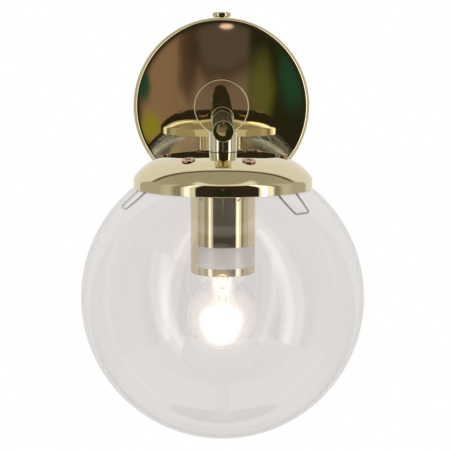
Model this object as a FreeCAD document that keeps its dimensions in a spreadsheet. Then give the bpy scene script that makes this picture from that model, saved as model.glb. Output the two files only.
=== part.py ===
# Wall sconce with a mirror-polished round backplate, a horizontal tube arm and a
# clear glass globe that hangs from a domed cap under the arm. Millimetres.
#
# Frame: the wall is the plane y = 0 and the lamp stands out towards -Y, +Z is up.
# The origin is where the arm's axis meets the wall. "Along the arm" below means a
# distance from the wall towards -Y, and the lamp's own vertical axis crosses the
# arm's axis at the distance reach.
import math
import os

import FreeCAD
import Part
import Sketcher
from FreeCAD import Placement, Rotation, Vector

# ---------------------------------------------------------------- driving dimensions
# name, value or formula, what it is
DIMENSIONS = [
    ("plate_rad", "67.5", "backplate, outside radius"),
    ("plate_depth", "25", "backplate, wall to polished face"),
    ("plate_sheet", "1.2", "backplate, sheet thickness"),
    ("plate_edge", "4", "backplate, rounded lip round the face"),
    ("screw_seat", "12", "thumb screws, distance from the wall"),
    ("thumb_rad", "7.2", "thumb screw, head radius"),
    ("thumb_tall", "3.9", "thumb screw, head height"),
    ("thumb_round", "1.5", "thumb screw, rounded upper edge"),
    ("thumb_foot", "1.1", "thumb screw, bevel on the lower edge"),
    ("thumb_shank", "11", "thumb screw, length under the head"),
    ("thread_rad", "2", "thumb, clip and earth screws, shank radius (M4)"),
    ("run_gap", "0.05", "running clearance on a turning shank"),
    ("bracket_wide", "24", "wall bracket, width of the strip"),
    ("bracket_sheet", "2", "wall bracket, thickness of the strip"),
    ("bracket_fold", "21", "wall bracket, reach of the folded tabs"),
    ("bracket_half", "63", "wall bracket, half height over the tabs"),
    ("wall_pitch", "60", "wall fixing slots, centre to centre"),
    ("slot_rad", "2.5", "wall fixing slots, half width"),
    ("slot_long", "14", "wall fixing slots, end to end"),
    ("cable_rad", "9", "wall bracket, cable hole radius"),
    ("boss_rad", "20.9", "boss, radius"),
    ("boss_front", "33", "boss, wall to front face"),
    ("rim_bevel", "0.8", "bright bevel on turned edges"),
    ("sleeve_rad", "7.75", "sleeve round the rear of the arm, radius"),
    ("sleeve_front", "162", "sleeve, wall to front edge"),
    ("arm_rad", "6.35", "arm tube, outside radius"),
    ("arm_sheet", "1", "arm tube, wall thickness"),
    ("arm_front", "276", "arm, wall to front end"),
    ("plug_thick", "2", "arm end cap, thickness of its head"),
    ("reach", "243", "wall to the lamp's vertical axis"),
    ("pipe_rad", "5", "threaded nipples, radius (M10 x 1)"),
    ("pipe_bore", "3.6", "threaded nipples, bore radius"),
    ("hex_half", "7", "nipple nuts, half the width across flats"),
    ("hex_thick", "3", "nipple nuts, thickness"),
    ("coupling_rad", "8.6", "coupling under the arm, radius"),
    ("coupling_top", "2.5", "coupling, arm axis down to its top face"),
    ("apex", "14.6", "arm axis down to the top of the cap"),
    ("cap_tall", "22", "cap, rim to top"),
    ("cap_sheet", "1", "cap, sheet thickness"),
    ("crown_round", "230", "cap, radius of the flat crown"),
    ("crown_rad", "33", "cap, where crown meets shoulder"),
    ("shoulder_round", "32", "cap, radius of the shoulder"),
    ("corner_round", "4", "cap, rounded corner between shoulder and rim band"),
    ("rim_rad", "54.9", "cap, radius of the rim band"),
    ("clip_ring_rad", "36", "clip screws, radius of their circle"),
    ("clip_head_rad", "4.1", "clip screw, head radius"),
    ("clip_head_tall", "0.8", "clip screw, head height"),
    ("clip_turn", "-35", "first clip screw, angle from the front"),
    ("clip_drill", "12", "clip screw holes, length of the cut, half to each side"),
    ("clip_shank", "8.2", "clip screw, length under the head"),
    ("clip_nut_depth", "7.4", "crown down to the underside of a clip's nut"),
    ("clip_eye_depth", "3.4", "crown down to the wire's eyes"),
    ("clip_skew", "-7", "globe clips, how far the loops sit round from their screws"),
    ("clip_wire", "0.6", "globe clip, wire radius"),
    ("globe_rad", "87.5", "glass globe, outside radius"),
    ("glass_sheet", "2", "glass globe, wall thickness"),
    ("mouth_rad", "48.5", "glass globe, mouth radius"),
    ("globe_seat", "0.3", "clearance between rim and glass"),
    ("tube_rad", "20", "socket tube, outside radius"),
    ("tube_sheet", "1", "socket tube, wall thickness"),
    ("tube_end", "89.5", "arm axis down to the socket tube's mouth"),
    ("holder_rad", "13.5", "lampholder, body radius"),
    ("holder_top", "34", "arm axis down to the lampholder's top"),
    ("holder_split", "50", "arm axis down to the lampholder's joint"),
    ("holder_end", "87", "arm axis down to the lampholder's mouth"),
    ("base_rad", "6.9", "bulb base, radius (E14)"),
    ("base_top", "64", "arm axis down to the top of the base shell"),
    ("base_end", "86.5", "arm axis down to the bottom of the base shell"),
    ("bulb_rad", "22.5", "bulb, radius (45 mm golf ball)"),
    ("bulb_drop", "116.5", "arm axis down to the bulb's centre"),
    ("bulb_sheet", "0.7", "bulb, glass thickness"),
    ("neck_rad", "7.2", "bulb, neck radius at the base"),
    ("flex_rad", "1", "inner wires, radius over the insulation"),
    ("flex_off", "1.4", "inner wires, offset of each from the arm axis"),
    # worked out from the ones above
    ("plate_face_rad", "=plate_rad-plate_edge", "flat of the polished face"),
    ("plate_edge_y", "=plate_depth-plate_edge", "where the lip starts"),
    ("cap_rim", "=apex+cap_tall", "arm axis down to the cap's rim"),
    ("crown_drop", "=crown_round-sqrt(crown_round^2-crown_rad^2)", "fall of the crown"),
    ("crown_z", "=apex+crown_drop", "arm axis down to the crown's edge"),
    ("shoulder_mid", "=crown_rad-shoulder_round*crown_rad/crown_round", "shoulder centre, radius"),
    ("shoulder_low", "=crown_z+shoulder_round*sqrt(1-(crown_rad/crown_round)^2)", "its depth"),
    ("corner_mid", "=rim_rad-corner_round", "centre of the rounded corner, radius"),
    ("corner_lean", "=(corner_mid-shoulder_mid)/(shoulder_round-corner_round)", "sine of its start"),
    ("corner_low", "=shoulder_low-(shoulder_round-corner_round)*sqrt(1-corner_lean^2)", "its depth"),
    ("corner_rad", "=shoulder_mid+shoulder_round*corner_lean", "where shoulder meets corner"),
    ("corner_z", "=shoulder_low-shoulder_round*sqrt(1-corner_lean^2)", "its depth"),
    ("crown_in", "=crown_round-cap_sheet", "crown, inside"),
    ("shoulder_in", "=shoulder_round-cap_sheet", "shoulder, inside"),
    ("crown_rad_in", "=shoulder_mid+shoulder_in*crown_rad/crown_round", "where they meet inside"),
    ("crown_z_in", "=shoulder_low-shoulder_in*sqrt(1-(crown_rad/crown_round)^2)", "its depth"),
    ("corner_in", "=corner_round-cap_sheet", "rounded corner, inside"),
    ("corner_rad_in", "=shoulder_mid+shoulder_in*corner_lean", "where they meet inside"),
    ("corner_z_in", "=shoulder_low-shoulder_in*sqrt(1-corner_lean^2)", "its depth"),
    ("rim_in", "=rim_rad-cap_sheet", "rim band, inside"),
    ("rim_foot_in", "=cap_rim-1.1", "rim band, inner foot, clear of the glass"),
    ("globe_drop", "=cap_rim+sqrt(globe_rad^2-rim_rad^2)+globe_seat", "globe centre"),
    ("globe_in", "=globe_rad-glass_sheet", "globe, inside radius"),
    ("globe_low", "=globe_drop+globe_rad", "globe, lowest point"),
    ("globe_low_in", "=globe_drop+globe_in", "globe, lowest point inside"),
    ("mouth_out_z", "=globe_drop-sqrt(globe_rad^2-mouth_rad^2)", "mouth edge outside"),
    ("mouth_in_z", "=globe_drop-sqrt(globe_in^2-mouth_rad^2)", "mouth edge inside"),
    ("apex_in", "=apex+cap_sheet", "arm axis down to the crown's inner face"),
    ("nut_top", "=apex_in+hex_half^2/(2*crown_in)+0.04", "lock nut, bearing on the curved crown"),
    ("tube_top", "=nut_top+hex_thick", "socket tube's closed end"),
    ("low_nut_top", "=tube_top+tube_sheet", "nut under the socket tube"),
    ("tube_in", "=tube_rad-tube_sheet", "socket tube, inside radius"),
    ("arm_in", "=arm_rad-arm_sheet", "arm tube, inside radius"),
    ("neck_blend", "12", "bulb, radius of the curve from ball to neck"),
    ("shell_rad", "=base_rad+run_gap", "lampholder's threaded shell, inside"),
    ("shell_out", "=shell_rad+0.5", "lampholder's threaded shell, outside"),
    # details, worked out or small
    ("screw_hole", "=thread_rad+0.4", "thumb screw holes in the plate's rim"),
    ("tapped_rad", "=thread_rad+run_gap", "tapped holes in the bracket's tabs"),
    ("bracket_tab", "=bracket_half-bracket_sheet", "inner face of the folded tabs"),
    ("slot_z", "=wall_pitch/2", "height of a wall slot's centre"),
    ("slot_run", "=slot_long/2-slot_rad", "half the straight part of a slot"),
    ("slot_low", "=slot_z-slot_run", "start of a slot's straight part"),
    ("slot_high", "=slot_z+slot_run", "end of a slot's straight part"),
    ("earth_x", "7.5", "earth screw, beside the middle"),
    ("earth_z", "14.5", "earth screw, below the middle"),
    ("block_near", "24", "terminal block, side towards the middle"),
    ("block_wide", "14", "terminal block, width"),
    ("block_deep", "12", "terminal block, depth"),
    ("block_high", "30", "terminal block, height"),
    ("pole_off", "7.5", "terminal block, each pole from its middle"),
    ("boss_face_rad", "=boss_rad-rim_bevel", "flat of the boss"),
    ("boss_bevel_y", "=boss_front-rim_bevel", "where the boss's bevel starts"),
    ("sleeve_face_rad", "=sleeve_rad-0.5", "front ring of the sleeve"),
    ("sleeve_bevel_y", "=sleeve_front-0.5", "where the sleeve's bevel starts"),
    ("plug_face_rad", "=arm_rad-0.4", "flat of the arm end cap"),
    ("plug_bevel_y", "=arm_front-0.4", "where the end cap's bevel starts"),
    ("arm_end_y", "=arm_front-plug_thick", "front end of the arm tube"),
    ("plug_tail_y", "=arm_end_y-6", "rear end of the end cap's spigot"),
    ("plate_back_y", "=plate_depth-plate_sheet", "back of the polished face"),
    ("pipe_start_y", "=plate_back_y-hex_thick-3", "rear end of the arm nipple"),
    ("pipe_stop_y", "=boss_front+24", "front end of the arm nipple"),
    ("pipe_grip", "6", "lamp's nipple, length inside the coupling"),
    ("drop_pipe_top", "=apex-pipe_grip", "top of the lamp's nipple"),
    ("drop_pipe_end", "=holder_top+7", "bottom of the lamp's nipple"),
    ("clip_lean", "=asin((clip_ring_rad-shoulder_mid)/shoulder_round)/1deg", "clip screws, lean"),
    ("clip_seat_z", "=shoulder_low-sqrt(shoulder_round^2-(clip_ring_rad-shoulder_mid)^2)", "their seat"),
    ("holder_neck", "=holder_top+8", "bottom of the lampholder's collar"),
    ("holder_roof", "=holder_neck+1.6", "ceiling of the terminal space"),
    ("holder_neck_rad", "=holder_rad-3", "lampholder's collar"),
    ("holder_in", "=holder_rad-2", "inside of the lampholder's cap"),
    ("holder_floor", "=holder_split+6", "ceiling of the lampholder's socket"),
    ("skirt_rad", "=holder_rad-1", "lampholder's lower half"),
    ("shell_end", "=holder_end-1", "mouth of the threaded shell"),
    ("shell_top", "=base_top-4", "top of the threaded shell"),
    ("neck_side", "=neck_rad+neck_blend", "bulb, centre of the neck's hollow curve"),
    ("neck_reach", "=bulb_rad+neck_blend", "ball centre to that centre"),
    ("neck_rise", "=sqrt(neck_reach^2-neck_side^2)", "height of that centre over the ball's"),
    ("joint_rad", "=neck_side*bulb_rad/neck_reach", "where ball meets neck"),
    ("joint_z", "=bulb_drop-neck_rise*bulb_rad/neck_reach", "its depth"),
    ("neck_z", "=bulb_drop-neck_rise", "where the neck turns straight"),
    ("bulb_in", "=bulb_rad-bulb_sheet", "ball, inside"),
    ("neck_in", "=neck_rad-bulb_sheet", "neck, inside"),
    ("blend_in", "=neck_blend+bulb_sheet", "neck's curve, inside"),
    ("joint_rad_in", "=joint_rad*bulb_in/bulb_rad", "where they meet inside"),
    ("joint_z_in", "=bulb_drop-(bulb_drop-joint_z)*bulb_in/bulb_rad", "its depth"),
    ("bulb_low", "=bulb_drop+bulb_rad", "bulb's lowest point"),
    ("bulb_low_in", "=bulb_low-bulb_sheet", "the same inside"),
    ("base_in", "=base_rad-0.4", "inside of the base shell"),
    ("glass_top", "=base_end-6", "glass, end inside the base shell"),
    ("throat", "=base_in-bulb_sheet", "glass inside the base shell, bore"),
    ("throat_z", "=base_end+0.3", "where that bore ends"),
    ("throat_out_z", "=base_end+1.2", "where the neck's bore starts"),
    ("insul_rad", "=base_rad-1.4", "black insulator, wide end"),
    ("insul_tip", "=base_top-2.4", "black insulator, narrow end"),
    ("tip_rad", "2.6", "solder contact, radius"),
    ("tip_round", "=(tip_rad^2+0.8^2)/1.6", "solder contact, radius of its dome"),
    ("base_top_in", "=base_top+0.4", "inside of the base shell's end"),
    ("tip_top", "=insul_tip-0.8", "solder contact, top"),
    ("stem_foot", "=throat_out_z+0.5", "glass stem, wide end"),
    ("stem_wide", "=neck_in", "glass stem, wide end, fused to the neck"),
    ("stem_thin", "1.8", "glass stem, rod radius"),
    ("stem_waist", "=stem_foot+10", "glass stem, where flare meets rod"),
    ("stem_end", "=bulb_drop-9", "glass stem, end of the rod"),
]

doc = FreeCAD.newDocument("sconce")
sheet = doc.addObject("Spreadsheet::Sheet", "Sizes")
for row, (name, content, note) in enumerate(DIMENSIONS, start=1):
    sheet.set("A%d" % row, note)
    sheet.set("B%d" % row, content)
    sheet.setAlias("B%d" % row, name)
doc.recompute()

parts = {}                     # node name -> document object


def size(name):
    """A number from the sheet; a leading minus sign turns it round, 0 is zero."""
    if name == "0":
        return 0.0
    if name.startswith("-"):
        return -float(sheet.get(name[1:]))
    return float(sheet.get(name))


def bound(name):
    """The same number as an expression that follows the sheet."""
    if name.startswith("-"):
        return "-Sizes." + name[1:]
    return "Sizes." + name


# ---------------------------------------------------------------- sketch and body helpers
def origin_feature(body, role):
    """One of the body's own planes or axes."""
    return [f for f in body.Origin.OriginFeatures if f.Role == role][0]


def new_sketch(body, role, title):
    sketch = body.newObject("Sketcher::SketchObject", title)
    sketch.AttachmentSupport = [(origin_feature(body, role), "")]
    sketch.MapMode = "FlatFace"
    return sketch


def pin_point(sketch, geo, end, across, up):
    """Hold one end of a line or arc at (across, up), both named sizes."""
    for kind, name, other in (("DistanceX", across, 1), ("DistanceY", up, 1)):
        value = size(name)
        if name == "0":
            # a point on an axis of the sketch
            axis = -2 if kind == "DistanceX" else -1
            sketch.addConstraint(Sketcher.Constraint("PointOnObject", geo, end, axis))
            continue
        index = sketch.addConstraint(Sketcher.Constraint(kind, -1, other, geo, end, value))
        sketch.setExpression("Constraints[%d]" % index, bound(name))


def arc_between(start, end, radius, bulge):
    """The short arc from start to end; bulge +1 has its centre on the left, -1 on the right."""
    chord = end - start
    middle = (start + end) * 0.5
    height = math.sqrt(max(radius ** 2 - (chord.Length / 2) ** 2, 0.0))
    left = Vector(-chord.y, chord.x, 0).normalize()
    centre = middle + left * (height * bulge)
    first = math.atan2(start.y - centre.y, start.x - centre.x)
    last = math.atan2(end.y - centre.y, end.x - centre.x)
    circle = Part.Circle(centre, Vector(0, 0, 1), radius)
    if bulge > 0:
        return Part.ArcOfCircle(circle, first, last), False
    return Part.ArcOfCircle(circle, last, first), True


def draw_outline(sketch, outline):
    """A closed outline. Each corner is (across, up); one that ends an arc adds (radius, bulge)."""
    spots = [Vector(size(c[0]), size(c[1]), 0) for c in outline]
    ends = []
    for i, corner in enumerate(outline):
        start, end = spots[i - 1], spots[i]
        if len(corner) == 2:
            geo = sketch.addGeometry(Part.LineSegment(start, end), False)
            ends.append((geo, 1, 2))
            continue
        arc, turned_round = arc_between(start, end, size(corner[2]), corner[3])
        geo = sketch.addGeometry(arc, False)
        index = sketch.addConstraint(Sketcher.Constraint("Radius", geo, size(corner[2])))
        sketch.setExpression("Constraints[%d]" % index, bound(corner[2]))
        ends.append((geo, 2, 1) if turned_round else (geo, 1, 2))
    for i, (geo, first, last) in enumerate(ends):
        follower = ends[(i + 1) % len(ends)]
        sketch.addConstraint(Sketcher.Constraint("Coincident", geo, last, follower[0], follower[1]))
        pin_point(sketch, geo, last, outline[i][0], outline[i][1])


def new_body(node, along=None):
    """An empty body; along names how far from the wall its own axis stands."""
    body = doc.addObject("PartDesign::Body", node)
    body.Label = node
    if along:
        body.setExpression("Placement.Base.y", bound("-" + along))
    parts[node] = body
    return body


def turn(body, role, outline, title="Turned"):
    """Revolve an outline about the sketch's vertical axis."""
    sketch = new_sketch(body, role, title + "Outline")
    draw_outline(sketch, outline)
    feature = body.newObject("PartDesign::Revolution", title)
    feature.Profile = sketch
    feature.ReferenceAxis = (sketch, ["V_Axis"])
    feature.Angle = 360
    doc.recompute()
    return feature


def turned(node, role, outline, along=None):
    body = new_body(node, along)
    turn(body, role, outline)
    return body


def hollow_out(body, open_face, thickness):
    """Leave a sheet of even thickness, open at one face."""
    pressed = body.Tip
    shell = body.newObject("PartDesign::Thickness", "Sheet")
    shell.Base = (pressed, [open_face])
    shell.setExpression("Value", bound(thickness))
    shell.Reversed = True
    doc.recompute()
    body.Tip = shell
    return shell


def flat_face_at(shape, direction, distance):
    """The name of the flat face that looks along direction, at that distance."""
    for i, face in enumerate(shape.Faces, start=1):
        if not isinstance(face.Surface, Part.Plane):
            continue
        looks = face.normalAt(0, 0).dot(direction) > 0.99
        if looks and abs(face.CenterOfMass.dot(direction) - distance) < 0.01:
            return "Face%d" % i
    raise RuntimeError("no such face")


def round_holes(body, role, circles, title="Holes", seat=None, depth=None):
    """Drill both ways from an origin plane, or from a seat that leans from it."""
    sketch = new_sketch(body, role, title + "Outline")
    if seat:
        sketch.AttachmentOffset = seat
    for across, up, radius in circles:
        centre = Vector(size(across), size(up), 0)
        geo = sketch.addGeometry(Part.Circle(centre, Vector(0, 0, 1), size(radius)), False)
        index = sketch.addConstraint(Sketcher.Constraint("Radius", geo, size(radius)))
        sketch.setExpression("Constraints[%d]" % index, bound(radius))
        pin_point(sketch, geo, 3, across, up)
    return cut(body, sketch, title, depth)


def cut(body, sketch, title, depth=None):
    """Cut the sketch out to both sides of its plane, right through or over depth."""
    before = body.Shape.Volume
    pocket = body.newObject("PartDesign::Pocket", title)
    pocket.Profile = sketch
    pocket.Type = "Length" if depth else "ThroughAll"
    if depth:
        pocket.setExpression("Length", bound(depth))
    pocket.SideType = "Symmetric"
    doc.recompute()
    body.Tip = pocket
    doc.recompute()
    if body.Shape.Volume >= before - 0.01:
        raise RuntimeError("nothing was cut from " + body.Label)
    return pocket


def solid(node, shape):
    """A piece that is built as a shape from sizes in the sheet."""
    feature = doc.addObject("Part::Feature", node)
    feature.Label = node
    feature.Shape = shape
    parts[node] = feature
    return feature


def group(node, shapes):
    """Several separate solids of one kind in one node."""
    return solid(node, Part.makeCompound(shapes))


# ---------------------------------------------------------------- bent wire
def bent_path(points, bend):
    """Straight runs joined by tangent arcs; each bend is cut back where a run is short."""
    spots = [Vector(*p) for p in points]
    edges = []
    last = spots[0]
    for i in range(1, len(spots) - 1):
        back = (spots[i - 1] - spots[i])
        ahead = (spots[i + 1] - spots[i])
        turn_angle = math.pi - back.getAngle(ahead)
        if turn_angle < 1e-3:
            continue
        room = 0.45 * min(back.Length, ahead.Length)
        cut = min(bend * math.tan(turn_angle / 2), room)
        back.normalize()
        ahead.normalize()
        start = spots[i] + back * cut
        end = spots[i] + ahead * cut
        radius = cut / math.tan(turn_angle / 2)
        inward = (back + ahead).normalize()
        centre = spots[i] + inward * (radius / math.cos(turn_angle / 2))
        middle = centre - inward * radius
        edges.append(Part.LineSegment(last, start).toShape())
        edges.append(Part.Arc(start, middle, end).toShape())
        last = end
    edges.append(Part.LineSegment(last, spots[-1]).toShape())
    return Part.Wire(edges)


def wire_along(path, radius):
    """A round wire along a path."""
    first = path.Edges[0]
    start = first.valueAt(first.FirstParameter)
    heading = first.tangentAt(first.FirstParameter)
    ring = Part.Wire(Part.Circle(start, heading, radius).toShape())
    return path.makePipeShell([ring], True, False)


# ---------------------------------------------------------------- shapes used more than once
def hex_nut(half, bore, thickness):
    """A hexagon nut standing on z = 0, half is half the width across flats."""
    corner = half / math.cos(math.radians(30))
    ring = [Vector(corner * math.cos(math.radians(60 * k)),
                   corner * math.sin(math.radians(60 * k)), 0) for k in range(7)]
    prism = Part.Face(Part.makePolygon(ring)).extrude(Vector(0, 0, thickness))
    bevel = Part.makeCone(half + thickness * 2.2, half - 0.1, thickness * 2.3)
    bevel.translate(Vector(0, 0, -thickness * 1.3))
    return prism.common(bevel).cut(Part.makeCylinder(bore, thickness))


def cross_screw(head_rad, head_tall, shank_rad, shank_long):
    """A pan-head screw, head upwards from z = 0, with a cross recess."""
    head = Part.makeCylinder(head_rad, head_tall)
    head = head.makeFillet(head_tall * 0.55, [e for e in head.Edges
                                              if abs(e.CenterOfMass.z - head_tall) < 1e-6])
    shank = Part.makeCylinder(shank_rad, shank_long, Vector(0, 0, -shank_long))
    slot = Part.makeBox(head_rad * 1.1, head_rad * 0.22, head_tall,
                        Vector(-head_rad * 0.55, -head_rad * 0.11, head_tall * 0.45))
    other = slot.copy()
    other.rotate(Vector(0, 0, 0), Vector(0, 0, 1), 90)
    return head.fuse(shank).cut(slot.fuse(other))


def placed(shape, spot, rotation=None):
    moved = shape.copy()
    moved.Placement = Placement(Vector(*spot), rotation or Rotation())
    return moved


OUT_OF_WALL = Rotation(Vector(1, 0, 0), 90)        # turns +Z to -Y
INTO_WALL = Rotation(Vector(1, 0, 0), -90)         # turns +Z to +Y


# ---------------------------------------------------------------- backplate and its fixing
def make_backplate():
    """A pressed pan: flat polished face, rounded lip, open towards the wall."""
    body = turned("backplate", "XY_Plane", [
        ("0", "-plate_depth"),
        ("plate_face_rad", "-plate_depth"),
        ("plate_rad", "-plate_edge_y", "plate_edge", 1),
        ("plate_rad", "0"),
        ("0", "0"),
    ])
    hollow_out(body, flat_face_at(body.Shape, Vector(0, 1, 0), 0.0), "plate_sheet")
    round_holes(body, "XZ_Plane", [("0", "0", "pipe_rad")], "ArmHole")
    round_holes(body, "XY_Plane", [("0", "-screw_seat", "screw_hole")], "ScrewHoles")


def make_bracket():
    """A strip with both ends folded forward, slotted for the wall screws."""
    body = new_body("wall_bracket")
    sketch = new_sketch(body, "YZ_Plane", "Fold")
    draw_outline(sketch, [
        ("0", "-bracket_half"),
        ("-bracket_fold", "-bracket_half"),
        ("-bracket_fold", "-bracket_tab"),
        ("-bracket_sheet", "-bracket_tab"),
        ("-bracket_sheet", "bracket_tab"),
        ("-bracket_fold", "bracket_tab"),
        ("-bracket_fold", "bracket_half"),
        ("0", "bracket_half"),
    ])
    pad = body.newObject("PartDesign::Pad", "Strip")
    pad.Profile = sketch
    pad.setExpression("Length", "Sizes.bracket_wide")
    pad.SideType = "Symmetric"
    doc.recompute()
    round_holes(body, "XY_Plane", [("0", "-screw_seat", "tapped_rad")], "TappedHoles")
    round_holes(body, "XZ_Plane", [("0", "0", "cable_rad")], "CableHole")
    slots = new_sketch(body, "XZ_Plane", "SlotOutline")
    for low, high in (("slot_low", "slot_high"), ("-slot_high", "-slot_low")):
        draw_outline(slots, [
            ("-slot_rad", low),
            ("slot_rad", low),
            ("slot_rad", high),
            ("-slot_rad", high),
        ])
    cut(body, slots, "Slots")
    ends = [("0", z, "slot_rad") for z in ("slot_low", "slot_high", "-slot_low", "-slot_high")]
    round_holes(body, "XZ_Plane", ends, "SlotEnds")
    round_holes(body, "XZ_Plane", [("earth_x", "-earth_z", "thread_rad")], "EarthHole")


def make_thumb_screws():
    """Thumb screws, through the plate's rim into the bracket's folded tabs."""
    long, tall = size("thumb_shank"), size("thumb_tall")
    head = Part.makeCylinder(size("thumb_rad"), tall)
    rims = [e for e in head.Edges if isinstance(e.Curve, Part.Circle)]
    head = head.makeFillet(size("thumb_round"), [e for e in rims if e.CenterOfMass.z > tall / 2])
    head = head.makeChamfer(size("thumb_foot"), [
        e for e in head.Edges if isinstance(e.Curve, Part.Circle) and e.CenterOfMass.z < 1e-6])
    screw = head.fuse(Part.makeCylinder(size("thread_rad"), long, Vector(0, 0, -long)))
    lift = size("plate_rad") + 0.1
    solid("thumb_screw_top", placed(screw, (0, -size("screw_seat"), lift)))
    solid("thumb_screw_bottom", placed(screw, (0, -size("screw_seat"), -lift),
                                       Rotation(Vector(1, 0, 0), 180)))


def make_terminal_block():
    """A two-pole terminal block on the back of the plate's face, and its screws."""
    wide, deep, high = size("block_wide"), size("block_deep"), size("block_high")
    front = -size("plate_back_y")
    back = front + deep
    near = size("block_near")
    middle = near + wide / 2
    block = Part.makeBox(wide, deep, high, Vector(near, front, -high / 2))
    block = block.makeFillet(1.2, [e for e in block.Edges if abs(e.CenterOfMass.y - front) > 1])
    screw_rad, wire_rad, nick = 1.6, 1.5, 0.6
    wells, screws = [Part.makeBox(wide, 2.5, 3, Vector(near, back - 2.5, -1.5))], []
    for z in (-size("pole_off"), size("pole_off")):
        wells.append(Part.makeCylinder(screw_rad + 1, 5.1, Vector(middle, back, z),
                                       Vector(0, -1, 0)))
        wells.append(Part.makeCylinder(wire_rad, wide, Vector(near, front + 5.5, z),
                                       Vector(1, 0, 0)))
        screw = Part.makeCylinder(screw_rad, 3.4, Vector(middle, back - 5, z), Vector(0, 1, 0))
        screws.append(screw.cut(Part.makeBox(2 * screw_rad, nick + 0.2, nick, Vector(
            middle - screw_rad, back - 2.2, z - nick / 2))))
    solid("terminal_block", block.cut(Part.makeCompound(wells)))
    group("terminal_screws", screws)


def make_earth_screw():
    """The earth screw, with a washer, in the strip beside the cable hole."""
    x, z = size("earth_x"), -size("earth_z")
    surface, washer_thick = -size("bracket_sheet"), 1.0
    washer = Part.makeCylinder(3.9, washer_thick)
    washer = washer.cut(Part.makeCylinder(size("thread_rad"), washer_thick))
    solid("earth_washer", placed(washer, (x, surface, z), OUT_OF_WALL))
    screw = cross_screw(3.6, 2.0, size("thread_rad"), 5.0)
    solid("earth_screw", placed(screw, (x, surface - washer_thick, z), OUT_OF_WALL))


# ---------------------------------------------------------------- arm
def make_arm():
    """The boss on the plate, the nipple and nut that hold it, and the two-part arm."""
    turned("boss", "XY_Plane", [
        ("pipe_rad", "-plate_depth"),
        ("boss_rad", "-plate_depth"),
        ("boss_rad", "-boss_bevel_y"),
        ("boss_face_rad", "-boss_front"),
        ("pipe_rad", "-boss_front"),
    ])
    turned("arm_nipple", "XY_Plane", [
        ("pipe_bore", "-pipe_start_y"),
        ("pipe_rad", "-pipe_start_y"),
        ("pipe_rad", "-pipe_stop_y"),
        ("pipe_bore", "-pipe_stop_y"),
    ])
    nut = hex_nut(size("hex_half"), size("pipe_rad"), size("hex_thick"))
    solid("arm_nut", placed(nut, (0, -size("plate_back_y"), 0), INTO_WALL))
    turned("arm_sleeve", "XY_Plane", [
        ("arm_rad", "-boss_front"),
        ("sleeve_rad", "-boss_front"),
        ("sleeve_rad", "-sleeve_bevel_y"),
        ("sleeve_face_rad", "-sleeve_front"),
        ("arm_rad", "-sleeve_front"),
    ])
    make_arm_tube()
    turned("arm_end_cap", "XY_Plane", [
        ("0", "-plug_tail_y"),
        ("arm_in", "-plug_tail_y"),
        ("arm_in", "-arm_end_y"),
        ("arm_rad", "-arm_end_y"),
        ("arm_rad", "-plug_bevel_y"),
        ("plug_face_rad", "-arm_front"),
        ("0", "-arm_front"),
    ])


def make_arm_tube():
    """The tube, with one hole in its underside where the wires turn down."""
    tube = doc.addObject("Part::Cylinder", "TubeOutside")
    bore = doc.addObject("Part::Cylinder", "TubeInside")
    drop = doc.addObject("Part::Cylinder", "WireHole")
    tube.setExpression("Radius", "Sizes.arm_rad")
    bore.setExpression("Radius", "Sizes.arm_in")
    for item in (tube, bore):
        item.setExpression("Height", "Sizes.arm_end_y-Sizes.boss_front")
        item.Placement = Placement(Vector(0, -size("boss_front"), 0), OUT_OF_WALL)
        item.setExpression("Placement.Base.y", "-Sizes.boss_front")
    drop.setExpression("Radius", "Sizes.pipe_bore")
    drop.setExpression("Height", "Sizes.arm_rad*2")
    drop.Placement = Placement(Vector(0, -size("reach"), 0), Rotation(Vector(1, 0, 0), 180))
    drop.setExpression("Placement.Base.y", "-Sizes.reach")
    tools = doc.addObject("Part::Fuse", "TubeCutters")
    tools.Base = bore
    tools.Tool = drop
    cut = doc.addObject("Part::Cut", "arm_tube")
    cut.Label = "arm_tube"
    cut.Base = tube
    cut.Tool = tools
    parts["arm_tube"] = cut


def make_coupling():
    """The post under the arm: saddled to the tube, tapped from below for the nipple."""
    reach, foot, top = size("reach"), -size("apex"), -size("coupling_top")
    radius = size("coupling_rad")
    post = Part.makeCylinder(radius, top - foot, Vector(0, 0, foot))
    post = post.makeChamfer(0.4, [e for e in post.Edges if abs(e.CenterOfMass.z - top) < 1e-6])
    saddle = Part.makeCylinder(size("arm_rad"), 4 * radius, Vector(0, 2 * radius, 0),
                               Vector(0, -1, 0))
    thread = Part.makeCylinder(size("pipe_rad"), size("pipe_grip"), Vector(0, 0, foot))
    through = Part.makeCylinder(size("pipe_bore"), -foot, Vector(0, 0, foot))
    shape = post.cut([saddle, thread, through])
    solid("coupling", placed(shape, (0, -reach, 0)))
    nut = hex_nut(size("hex_half"), size("pipe_rad"), size("hex_thick"))
    solid("cap_nut", placed(nut, (0, -reach, -size("nut_top") - size("hex_thick"))))
    solid("tube_nut", placed(nut, (0, -reach, -size("low_nut_top") - size("hex_thick"))))
    turned("drop_nipple", "XZ_Plane", [
        ("pipe_bore", "-drop_pipe_end"),
        ("pipe_rad", "-drop_pipe_end"),
        ("pipe_rad", "-drop_pipe_top"),
        ("pipe_bore", "-drop_pipe_top"),
    ], "reach")


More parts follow.
